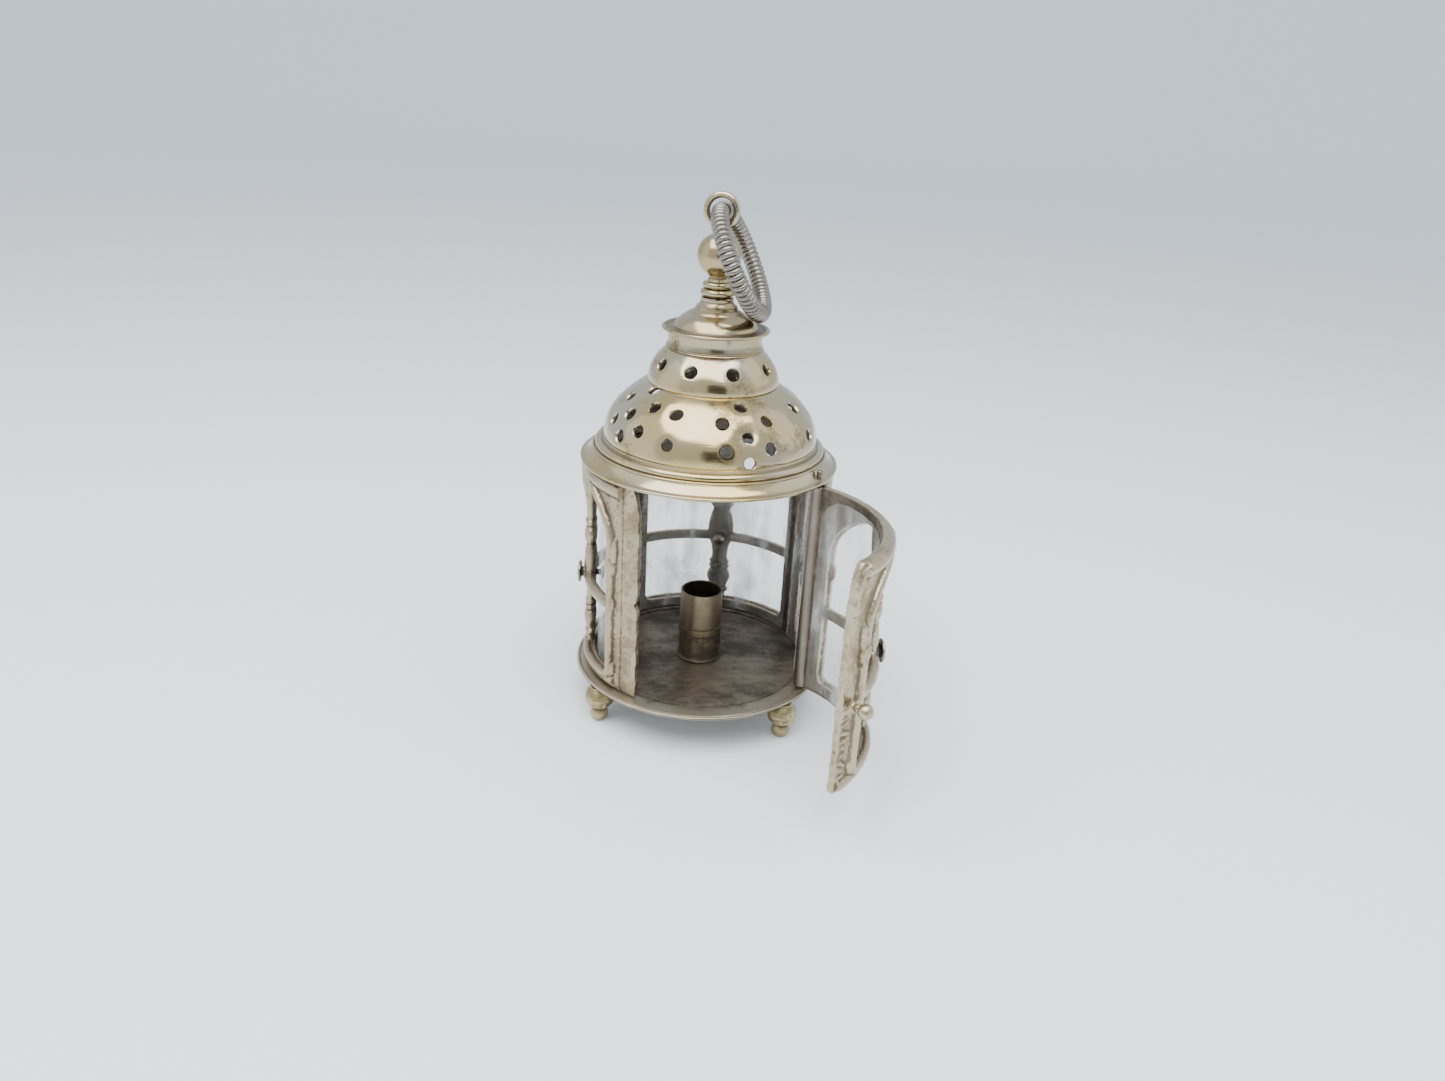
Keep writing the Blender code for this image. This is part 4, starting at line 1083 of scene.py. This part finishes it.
@dataclass
class Rivet:
    """A button rivet: a domed head on a stepped neck, with its tail riveted over the pane."""

    height: float = 14.0
    neck: float = 0.95
    head: float = 1.65

    def model(self, frame_radius: float, pane_radius: float) -> bpy.types.Object:
        """Turns a rivet that stands along the vertical axis.

        Args:
            frame_radius: the outer radius of the frame under its neck.
            pane_radius: the inner radius of the pane over its tail.
        """
        foot, tail = frame_radius + 0.3, pane_radius - 0.3
        top = foot + 1.25
        profile = [
            (0, tail - 0.35), (0.7, tail - 0.33), (0.98, tail - 0.15), (0.98, tail), (0.45, tail),
            (0.45, foot), (self.neck + 0.1, foot), (self.neck + 0.1, foot + 0.25),
            (self.neck - 0.2, foot + 0.32), (self.neck - 0.2, foot + 0.62), (self.head - 0.12, foot + 0.70),
            (self.head, foot + 0.80), (self.head, foot + 0.95), (self.head - 0.14, foot + 1.08),
            (self.head - 0.45, foot + 1.16), (0.6, top - 0.03), (0, top),
        ]
        rivet = Bench.turn("rivet", profile, 40)
        Bench.roughen(rivet, 0.03, 0.8, 5.0)
        return rivet

    def build(self, name: str, node: str, azimuth: float, radii: tuple[float, float], body: Body) -> None:
        """Places one rivet at its mullion.

        Args:
            name: the piece's name.
            node: the CAD node that it stands for.
            azimuth: where it stands.
            radii: outer radius of the frame and inner radius of the pane.
            body: the body that it rides on.
        """
        rivet = self.model(*radii)
        rivet.name = name
        turn = Matrix.Rotation(math.radians(azimuth), 4, "Z") @ LAID_OUTWARDS
        rivet.data.transform(Matrix.Translation((0, 0, self.height)) @ turn)
        if body is Body.DOOR:
            rivet.data.transform(DOOR_OPEN)
        Bench.finish(rivet, body, OXIDE, "oxidised_silver", [node])


@dataclass
class Hinge:
    """The door's hinge tube, its pin and the knob on the free stile."""

    foot: float = 0.95
    top: float = 32.75
    knuckle: float = 1.04
    pin: float = 0.42
    pin_foot: float = 0.1
    pin_top: float = 34.95
    knob_azimuth: float = -31.55
    knob_height: float = 13.3
    knob_stem: float = 18.7

    def tube(self) -> None:
        """The rolled tube down the hinge side, turned with the door."""
        profile = [
            (0.62, self.foot), (self.knuckle - 0.08, self.foot), (self.knuckle, self.foot + 0.1),
            (self.knuckle, self.top - 0.1), (self.knuckle - 0.08, self.top), (0.62, self.top),
        ]
        tube = Bench.turn("hinge_tube", profile, 32, closed=True)
        Bench.roughen(tube, 0.05, 1.2, 8.0)
        tube.data.transform(Matrix.Translation(HINGE))
        Bench.finish(tube, Body.DOOR, COPPERED, "cast_silver")

    def pivot(self) -> None:
        """The pin, with its ends upset in the plate and the brim."""
        profile = [
            (0, self.pin_foot), (self.pin - 0.04, self.pin_foot), (self.pin, self.pin_foot + 0.08),
            (self.pin, self.pin_top - 0.1), (self.pin - 0.1, self.pin_top), (0, self.pin_top + 0.03),
        ]
        pin = Bench.turn("hinge_wire", profile, 24)
        pin.data.transform(Matrix.Translation(HINGE))
        Bench.finish(pin, Body.LANTERN, COPPERED, "oxidised_silver", ["hinge_pin"])

    def knob(self) -> None:
        """The cast ball knob on its collared stem."""
        stem, ball = self.knob_stem, self.knob_stem + 1.65
        profile = [
            (0, stem), (0.88, stem), (0.85, stem + 0.18), (0.52, stem + 0.34), (0.50, stem + 0.55),
            (0.66, stem + 0.66), (0.60, stem + 0.78), *arc((0, ball), 1.04, -52, 84, 14), (0, ball + 1.05),
        ]
        knob = Bench.turn("knob_ball", profile, 40)
        turn = Matrix.Rotation(math.radians(self.knob_azimuth), 4, "Z") @ LAID_OUTWARDS
        knob.data.transform(DOOR_OPEN @ Matrix.Translation((0, 0, self.knob_height)) @ turn)
        Bench.roughen(knob, 0.05, 0.9, 6.0)
        Bench.finish(knob, Body.DOOR, CAST_DOOR, "cast_silver", ["door_knob"])

    def build(self) -> None:
        """Makes the hinge's pieces and the knob."""
        self.tube()
        self.pivot()
        self.knob()


@dataclass
class Dome:
    """One tier of the pierced roof: a raised shell whose punched holes are a little sunk."""

    name: str
    node: str
    foot_radius: float
    top_radius: float
    foot: float
    height: float
    wall: float = 0.6
    seed: float = 1.0
    rows: int = 40
    sides: int = 240

    @property
    def last_turn(self) -> float:
        """The angle on the ellipse at the tier's top."""
        return math.acos(self.top_radius / self.foot_radius)

    @property
    def half_height(self) -> float:
        """Half height of the whole ellipse."""
        return self.height / math.sin(self.last_turn)

    def spot(self, azimuth: float, share: float) -> Vector:
        """The surface point at a share of the way up the tier."""
        turn = self.last_turn * share
        height = self.foot + self.half_height * math.sin(turn)
        return polar(self.foot_radius * math.cos(turn), azimuth, height)

    def dropped(self, point: Vector) -> Vector:
        """The surface point at another point's azimuth and height."""
        level = min(max((point.z - self.foot) / self.half_height, 0.0), 0.99)
        spot = from_axis(point) * self.foot_radius * math.sqrt(1 - level**2)
        spot.z = self.foot + self.half_height * level
        return spot

    def outward(self, spot: Vector) -> Vector:
        """The surface's outward direction at a point."""
        flat = Vector((spot.x, spot.y, 0)) / self.foot_radius**2
        return (flat + UP * (spot.z - self.foot) / self.half_height**2).normalized()

    def shell(self, rolls: float) -> bpy.types.Object:
        """Raises the shell from its profile.

        Args:
            rolls: radius of the soft roll along its foot.
        """
        turns = [self.last_turn * step / self.rows for step in range(self.rows + 1)]
        outer = [(self.foot_radius * math.cos(t), self.foot + self.half_height * math.sin(t)) for t in turns]
        inner = []
        for radius, height in outer:
            normal = self.outward(Vector((radius, 0, height)))
            inner.append((radius - normal.x * self.wall, height - normal.z * self.wall))
        inner = [(r, max(z, self.foot)) for r, z in inner]
        top = outer[-1][1]
        inner[-1] = (inner[-1][0], min(inner[-1][1], top))
        shell = Bench.turn(self.name, [*outer, (inner[-1][0], top), *inner[-2::-1]], self.sides, closed=True)
        for vertex in shell.data.vertices:
            lift = vertex.co.z - self.foot
            if lift < rolls:
                vertex.co.xy *= 1 - (0.25 * rolls * (1 - lift / rolls) ** 2) / self.foot_radius
        return shell

    def pierced(self, shell: bpy.types.Object, holes: Sequence[tuple[Vector, float]], sink: float) -> None:
        """Sinks the metal round each hole and punches the holes through, with a chamfered edge.

        Args:
            shell: the raised shell.
            holes: each hole's middle on the surface, and its radius.
            sink: how far the metal dips at a hole.
        """
        for vertex in shell.data.vertices:
            for spot, radius in holes:
                gap = (vertex.co - spot).length
                if gap < 3.2 * radius:
                    vertex.co -= self.outward(spot) * sink * math.exp(-((gap / (1.25 * radius)) ** 2))
        drills = []
        for index, (spot, radius) in enumerate(holes):
            size = radius * (1 + 0.07 * math.sin(5.3 * index + self.seed))
            mouth = size * 1.28
            profile = [(0, -2.2), (size, -2.2), (size, -0.20), (mouth, 0.12), (mouth, 1.0), (0, 1.0)]
            drill = Bench.turn("drill", profile, 22)
            axis = self.outward(spot)
            wide, tall = 1.0 + 0.08 * math.sin(3.1 * index), 1.0 - 0.06 * math.cos(4.7 * index)
            squash = Matrix.Diagonal((wide, tall, 1, 1))
            turn = UP.rotation_difference(axis).to_matrix().to_4x4()
            drill.data.transform(Matrix.Translation(spot - axis * 0.8 * sink) @ turn @ squash)
            drills.append(drill)
        Bench.cut(shell, Bench.join("drills", drills))
        # The hole walls and the inside take the dark painted shade finish.
        Bench.mark_inner(shell, self.outward, 0.35)


@dataclass
class Roof:
    """The roof: brim, two pierced tiers, neck and cap."""

    rosettes: tuple[tuple[float, float], ...] = ((-54.0, 0.54), (23.0, 0.44), (114.0, 0.48), (206.0, 0.50))
    petal_reach: float = 3.9
    hole: float = 0.85
    pairs: tuple[float, ...] = (-21.0, 70.0, 160.0, 256.0)
    pair_shares: tuple[float, ...] = (0.28, 0.70)
    upper_holes: tuple[float, ...] = (-57.0, -20.0, 20.0, 62.0, 107.0, 152.0, 197.0, 242.0)
    upper_share: float = 0.58
    upper_hole: float = 0.80

    def brim(self) -> None:
        """The brim: a thin bright lip, a hollow slope, two fine lines and a bead round the dome's foot."""
        profile = [
            (15.0, 33.1), (18.30, 33.1), (18.52, 33.16), *arc((18.43, 33.36), 0.23, -50, 95, 8),
            (18.30, 33.60), (18.15, 33.66),
            *fair([(18.05, 33.70), (17.85, 33.84), (17.45, 34.22), (17.12, 34.66), (16.98, 34.90)], 3),
            (16.92, 34.86), *arc((16.80, 35.02), 0.17, -20, 150, 6), (16.60, 35.06),
            *arc((15.94, 35.46), 0.62, -32, 118, 12), (15.52, 36.08), (15.36, 36.30), (15.3, 36.43),
            (15.0, 36.43),
        ]
        brim = Bench.turn("brim_sheet", profile, 240, closed=True)
        slot = Bench.turn("slot", [(0, 34.0), (0.62, 34.0), (0.62, 36.0), (0, 36.0)], 24)
        stretch = Matrix.Diagonal((1.0, 1.75, 1.0, 1.0))
        turn = Matrix.Rotation(math.radians(HINGE_AZIMUTH - 90), 4, "Z")
        slot.data.transform(Matrix.Translation((HINGE.x, HINGE.y, 0.0)) @ turn @ stretch)
        Bench.cut(brim, slot)
        Bench.roughen(brim, 0.06, 4.5, 2.0)
        # The inside and underside of the brim take the dark painted shade finish.
        Bench.mark_inner(brim, lambda spot: (from_axis(spot) + UP).normalized(), Bench.TURNED_AWAY)
        Bench.finish(brim, Body.LANTERN, GILT, "silver_gilt", ["roof_brim"], inside=INNER_SHADE)

    def lower(self) -> None:
        """The lower tier, pierced with rosettes and with pairs of holes between them."""
        dome = Dome("dome_lower_tier", "lower_dome", 15.4, 9.2, 36.45, 8.18, seed=1.0)
        holes = []
        for azimuth, share in self.rosettes:
            centre = dome.spot(azimuth, share)
            turn = math.radians(azimuth)
            along = Vector((math.cos(turn), math.sin(turn), 0))
            upward = dome.outward(centre).cross(along)
            holes.append((centre, self.hole))
            for petal in np.radians(np.arange(6) * 60 + 30):
                way = along * math.cos(petal) + upward * math.sin(petal)
                holes.append((dome.dropped(centre + way * self.petal_reach), self.hole))
        for azimuth in self.pairs:
            holes += [(dome.spot(azimuth, share), self.hole) for share in self.pair_shares]
        shell = dome.shell(0.3)
        for place, depth, reach in (
            (self.rosettes[1], 0.38, 1.7),
            ((34.0, 0.16), 0.22, 2.6),
            ((2.0, 0.22), -0.16, 3.4),
            ((-38.0, 0.30), 0.18, 3.0),
        ):
            self.dent(shell, dome.spot(*place), depth, reach)
        dome.pierced(shell, holes, 0.16)
        Bench.roughen(shell, 0.10, 5.0, 4.0)
        Bench.roughen(shell, 0.022, 1.3, 7.0)
        Bench.finish(shell, Body.LANTERN, GILT, "silver_gilt", ["lower_dome"], inside=INNER_SHADE)

    @staticmethod
    def dent(shell: bpy.types.Object, spot: Vector, depth: float, reach: float) -> None:
        """Pushes the shell in round a point.

        Args:
            shell: the raised shell.
            spot: the dent's middle.
            depth: how deep it is; under 0 for a bulge.
            reach: its radius.
        """
        inward = -Vector((spot.x, spot.y, 0.8 * (spot.z - 36.0))).normalized()
        for vertex in shell.data.vertices:
            gap = (vertex.co - spot).length
            if gap < 3 * reach:
                vertex.co += inward * depth * math.exp(-((gap / reach) ** 2))

    def upper(self) -> None:
        """The upper tier, with one ring of holes."""
        dome = Dome("dome_upper_tier", "upper_dome", 9.3, 6.8, 44.65, 4.78, seed=2.0, rows=30, sides=200)
        shell = dome.shell(0.15)
        holes = [(dome.spot(azimuth, self.upper_share), self.upper_hole) for azimuth in self.upper_holes]
        dome.pierced(shell, holes, 0.14)
        Bench.roughen(shell, 0.08, 4.0, 11.0)
        Bench.finish(shell, Body.LANTERN, GILT, "silver_gilt", ["upper_dome"], inside=INNER_SHADE)

    def neck(self) -> None:
        """The neck: a plain band with two fine lines at its foot."""
        profile = [
            (6.2, 49.45), (6.86, 49.45), (6.92, 49.54), (6.86, 49.64), (6.72, 49.70), (6.80, 49.78),
            (6.80, 49.86), (6.70, 49.94),
            *fair([(6.66, 50.1), (6.60, 50.6), (6.66, 51.2), (6.76, 51.83)], 3), (6.2, 51.83),
        ]
        neck = Bench.turn("neck_band", profile, 144, closed=True)
        Bench.roughen(neck, 0.05, 3.0, 13.0)
        Bench.finish(neck, Body.LANTERN, GILT_DARK, "silver_gilt", ["neck_collar"])

    def cap(self) -> None:
        """The cap: a dished flange with a bright lip, and a stepped dome."""
        profile = [
            (0, 51.85), (6.9, 51.85), (7.30, 51.92), *arc((7.36, 52.14), 0.23, -60, 110, 8), (7.20, 52.30),
            (6.75, 52.12), (6.25, 52.16), (6.02, 52.30),
            *fair([(5.90, 52.42), (5.60, 52.95), (5.0, 53.6), (4.3, 54.05), (3.85, 54.30)], 4),
            (3.72, 54.28), (3.62, 54.36), *fair([(3.55, 54.44), (3.3, 54.62), (3.0, 54.80)], 3),
            (2.9, 55.13), (0, 55.13),
        ]
        cap = Bench.turn("cap_sheet", profile, 144)
        Bench.roughen(cap, 0.09, 3.2, 17.0)
        Bench.finish(cap, Body.LANTERN, GILT_DARK, "silver_gilt", ["cap"])

    def build(self) -> None:
        """Makes the roof from the brim up."""
        self.brim()
        self.lower()
        self.upper()
        self.neck()
        self.cap()


@dataclass
class Finial:
    """The turned finial, its eye and the wire-wound loop that hangs from it."""

    stem_foot: float = 55.15
    knop: float = 62.083
    knop_radius: float = 3.05
    eye: float = 67.933
    eye_radius: float = 2.05
    eye_wire: float = 0.45
    eye_turn: float = 8.0
    loop_radius: float = 7.3
    loop_lean: float = 25.54
    core_radius: float = 0.75
    wound_radius: float = 1.26
    winding_gap: float = 14.2
    wire: float = 0.42
    turns: int = 64

    def stem(self) -> None:
        """The stem: a drum, two collars, a slim waist and a ball knop."""
        foot = self.stem_foot
        profile = [
            (0, foot), (2.9, foot),
            *fair([(2.88, foot + 0.12), (2.50, foot + 0.40), (2.30, foot + 0.75), (2.34, foot + 1.10)], 4),
            (2.30, foot + 1.30), (1.70, foot + 1.36), *arc((1.85, foot + 1.92), 0.55, -70, 70, 8),
            (1.60, foot + 2.47), *arc((1.62, foot + 2.97), 0.50, -62, 62, 8), (1.50, foot + 3.47),
            *fair([(1.45, foot + 3.62), (1.36, foot + 3.90), (1.44, foot + 4.15), (1.58, foot + 4.33)], 3),
            *arc((0, self.knop), self.knop_radius - 0.02, -58, 88, 26), (0, self.knop + self.knop_radius),
        ]
        stem = Bench.turn("stem_turned", profile, 96)
        Bench.roughen(stem, 0.07, 2.4, 19.0)
        Bench.finish(stem, Body.LANTERN, GILT_DARK, "silver_gilt", ["finial_stem"])

    def ring(self) -> None:
        """The eye: a ring of half-worn wire soldered to the knop."""
        turns = np.radians(np.arange(0, 360, 7.5))
        path = [Vector((self.eye_radius * math.cos(t), 0, self.eye_radius * math.sin(t))) for t in turns]
        eye = Bench.sweep("eye_ring", path, self.eye_wire, closed=True, rounds=5)
        seat = [Vector((-0.9, 0, -2.20)), Vector((0, 0, -2.38)), Vector((0.9, 0, -2.20))]
        wrap = Bench.sweep("eye_foot", seat, 0.42, rounds=4)
        eye = Bench.join("eye_ring", [eye, wrap])
        turn = Matrix.Rotation(-math.radians(self.eye_turn), 4, "Z")
        eye.data.transform(Matrix.Translation((0, 0, self.eye)) @ turn)
        Bench.finish(eye, Body.LANTERN, GILT, "silver_gilt", ["finial_eye"])

    def loop(self) -> None:
        """The loop: a wire core wound with close turns of thinner wire."""
        wire = self.wire
        Bench.clear()
        bpy.ops.mesh.primitive_torus_add(
            major_radius=self.wound_radius - wire, minor_radius=wire, major_segments=22, minor_segments=8
        )
        turn = bpy.context.object
        turn.data.transform(Matrix.Rotation(math.radians(8), 4, "Y"))
        span = 360 - self.winding_gap
        coils = []
        for index in range(self.turns):
            angle = math.radians(self.winding_gap / 2 + span * (index + 0.5) / self.turns)
            shake = Matrix.Rotation(math.radians(2.5 * math.sin(9.1 * index)), 4, "X")
            place = Matrix.Rotation(angle, 4, "Z") @ Matrix.Translation((self.loop_radius, 0, 0))
            place = place @ Matrix.Rotation(math.radians(90), 4, "X") @ shake
            coils.append(Bench.copy(turn, "coil", place))
        bpy.data.objects.remove(turn)
        turns = np.radians(np.arange(0, 360, 6.0))
        path = [Vector((self.loop_radius * math.cos(t), self.loop_radius * math.sin(t), 0)) for t in turns]
        core = Bench.sweep("core", path, self.core_radius, closed=True)
        loop = Bench.join("wound_loop", [core, *coils])
        upright = Matrix.Rotation(math.radians(90), 4, "Y") @ Matrix.Rotation(math.radians(180), 4, "Z")
        hung = Matrix.Translation((0, 0, -self.loop_radius)) @ upright
        lean = Matrix.Rotation(-math.radians(self.loop_lean), 4, "Y")
        turn_round = Matrix.Rotation(-math.radians(self.eye_turn), 4, "Z")
        loop.data.transform(Matrix.Translation((0, 0, self.eye)) @ turn_round @ lean @ hung)
        Bench.finish(loop, Body.LOOP, OXIDE, "oxidised_silver", ["loop_winding", "loop_core"], 60.0)

    def build(self) -> None:
        """Makes the finial from the drum up."""
        self.stem()
        self.ring()
        self.loop()


@dataclass
class Studio:
    """The pale sweep, the soft lights and the camera."""

    floor: float = -5.8
    paper_size: float = 2400.0
    backdrop_depth: float = 600.0
    backdrop_rise: float = 900.0
    backdrop_steps: int = 10
    camera_place: Point = (3.9035, -150.797, 83.228)
    camera_pitch: float = 67.32
    camera_roll: float = 3.6
    lens: float = 27.0
    shift: float = -0.0055

    def sweep(self) -> None:
        """The seamless paper: a floor that curves up into a backdrop."""
        Bench.clear()
        bpy.ops.mesh.primitive_plane_add(size=self.paper_size, location=(0, 0, self.floor))
        paper = bpy.context.object
        paper.name = "paper_sweep"
        bpy.ops.object.transform_apply(location=True, rotation=True, scale=True)
        bpy.ops.object.mode_set(mode="EDIT")
        bpy.ops.mesh.select_all(action="DESELECT")
        bpy.ops.object.mode_set(mode="OBJECT")
        for edge in paper.data.edges:
            edge.select = all(paper.data.vertices[i].co.y > 0 for i in edge.vertices)
        bpy.ops.object.mode_set(mode="EDIT")
        back = (0, self.backdrop_depth / self.backdrop_steps, 0)
        for _ in range(self.backdrop_steps):
            bpy.ops.mesh.extrude_region_move(TRANSFORM_OT_translate={"value": back})
        bpy.ops.object.mode_set(mode="OBJECT")
        for vertex in paper.data.vertices:
            beyond = max(vertex.co.y - self.paper_size / 2, 0) / self.backdrop_depth
            vertex.co.z += self.backdrop_rise * beyond**2
        paper.data.transform(Matrix.Scale(MM, 4))
        Bench.pick(paper)
        bpy.ops.object.shade_smooth_by_angle(angle=math.radians(40))
        paper.data.materials.append(PAPER.material())

    def card(self, name: str, size: tuple[float, float], place: Point, aim: Point, tone: float) -> None:
        """A card that the metal reflects and the camera never sees."""
        Bench.clear()
        bpy.ops.mesh.primitive_plane_add(size=1)
        card = bpy.context.object
        card.name = name
        card.data.transform(Matrix.Diagonal((size[0], size[1], 1, 1)))
        turn = (Vector(aim) - Vector(place)).to_track_quat("Z", "Y").to_matrix().to_4x4()
        card.data.transform(Matrix.Scale(MM, 4) @ Matrix.Translation(place) @ turn)
        card.data.materials.append(Paper(name + "_paper", (tone, tone, tone)).material())
        card.visible_camera = False
        card.visible_shadow = False
        card.visible_diffuse = False

    def light(
        self, name: str, place: Point, aim: Point, size: tuple[float, float], watts: float, colour: Colour
    ) -> None:
        """Adds one soft box.

        Args:
            name: the light's name.
            place: where it stands, in millimetres.
            aim: the point that it faces.
            size: its width and height.
            watts: its power.
            colour: its colour.
        """
        Bench.clear()
        bpy.ops.object.light_add(type="AREA", location=Vector(place) * MM)
        lamp = bpy.context.object
        lamp.name = name
        lamp.data.shape = "RECTANGLE"
        lamp.data.size, lamp.data.size_y = size[0] * MM, size[1] * MM
        lamp.data.energy = watts
        lamp.data.color = colour
        lamp.rotation_euler = (Vector(aim) - Vector(place)).to_track_quat("-Z", "Y").to_euler()

    def sky(self) -> None:
        """Even, cool room light."""
        world = bpy.data.worlds.new("room")
        bpy.context.scene.world = world
        world.use_nodes = True
        ground = world.node_tree.nodes["Background"]
        ground.inputs["Color"].default_value = (0.78, 0.86, 0.94, 1)
        ground.inputs["Strength"].default_value = 1.2

    def camera(self) -> None:
        """The camera: it looks down at the lantern and is rolled a little."""
        Bench.clear()
        bpy.ops.object.camera_add(location=Vector(self.camera_place) * MM)
        camera = bpy.context.object
        camera.name = "view"
        camera.data.lens = self.lens
        camera.data.sensor_width = 36.0
        camera.data.shift_x = self.shift
        camera.data.clip_start, camera.data.clip_end = 0.005, 10.0
        pitch = Matrix.Rotation(math.radians(self.camera_pitch), 4, "X")
        roll = Matrix.Rotation(math.radians(self.camera_roll), 4, "Z")
        camera.rotation_euler = (pitch @ roll).to_euler()
        bpy.context.scene.camera = camera

    def build(self) -> None:
        """Sets up the studio."""
        self.sky()
        self.sweep()
        self.card("dark_front", (260, 200), (60, -400, 105), (0, 0, 36), 0.04)
        self.light("soft_top", (-30, -120, 330), (0, 0, 20), (420, 320), 2.2, (1.0, 0.99, 0.97))
        self.light("soft_left", (-330, -60, 160), (0, 0, 25), (300, 400), 0.20, (0.97, 0.99, 1.0))
        self.light("soft_right", (300, 40, 200), (0, 0, 25), (260, 340), 0.18, (1.0, 0.99, 0.98))
        self.camera()


def windows() -> list[Window]:
    """The four window frames, the door's among them."""
    return [
        Window("left_window", "left_frame", -134.5, -30.0, end_margin=10.5, lap=-40.5, seed=1.0),
        Window("back_window", "back_frame", 120.5, 224.5, seed=2.0),
        Window("right_window", "right_frame", 66.5, 119.5, seed=3.0),
        Window(
            "door_window", "door_frame", -38.0, 60.8, inner=17.2, thickness=1.2, start_margin=5.5,
            end_margin=1.0, end_inset=0.0, body=Body.DOOR, finish=CAST_DOOR, seed=4.0,
        ),
    ]


def dress_cad() -> None:
    """Gives the CAD nodes that stay their finishes."""
    for name in ("left_pane", "back_pane", "right_pane", "door_pane"):
        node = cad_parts[name]
        node.data.materials.clear()
        node.data.materials.append(MICA.material())
    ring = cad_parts["roof_ring"]
    ring.data.materials.clear()
    ring.data.materials.append(COPPERED.material())


def main() -> None:
    """Builds the lantern's looks and the studio."""
    logging.basicConfig(level=logging.INFO, format="%(message)s")
    Bench.clear()
    Base().build()
    for window in windows():
        window.build()
    rivet = Rivet()
    rivet.build("left_button", "left_rivet", -87.5, (17.47, 15.6), Body.LANTERN)
    rivet.build("back_button", "back_rivet", 172.5, (17.5, 15.6), Body.LANTERN)
    rivet.build("right_button", "right_rivet", 93.7, (17.5, 15.6), Body.LANTERN)
    rivet.build("door_button", "door_rivet", 13.65, (18.38, 16.6), Body.DOOR)
    Hinge().build()
    Roof().build()
    Finial().build()
    dress_cad()
    Studio().build()


if __name__ == "__main__":
    main()
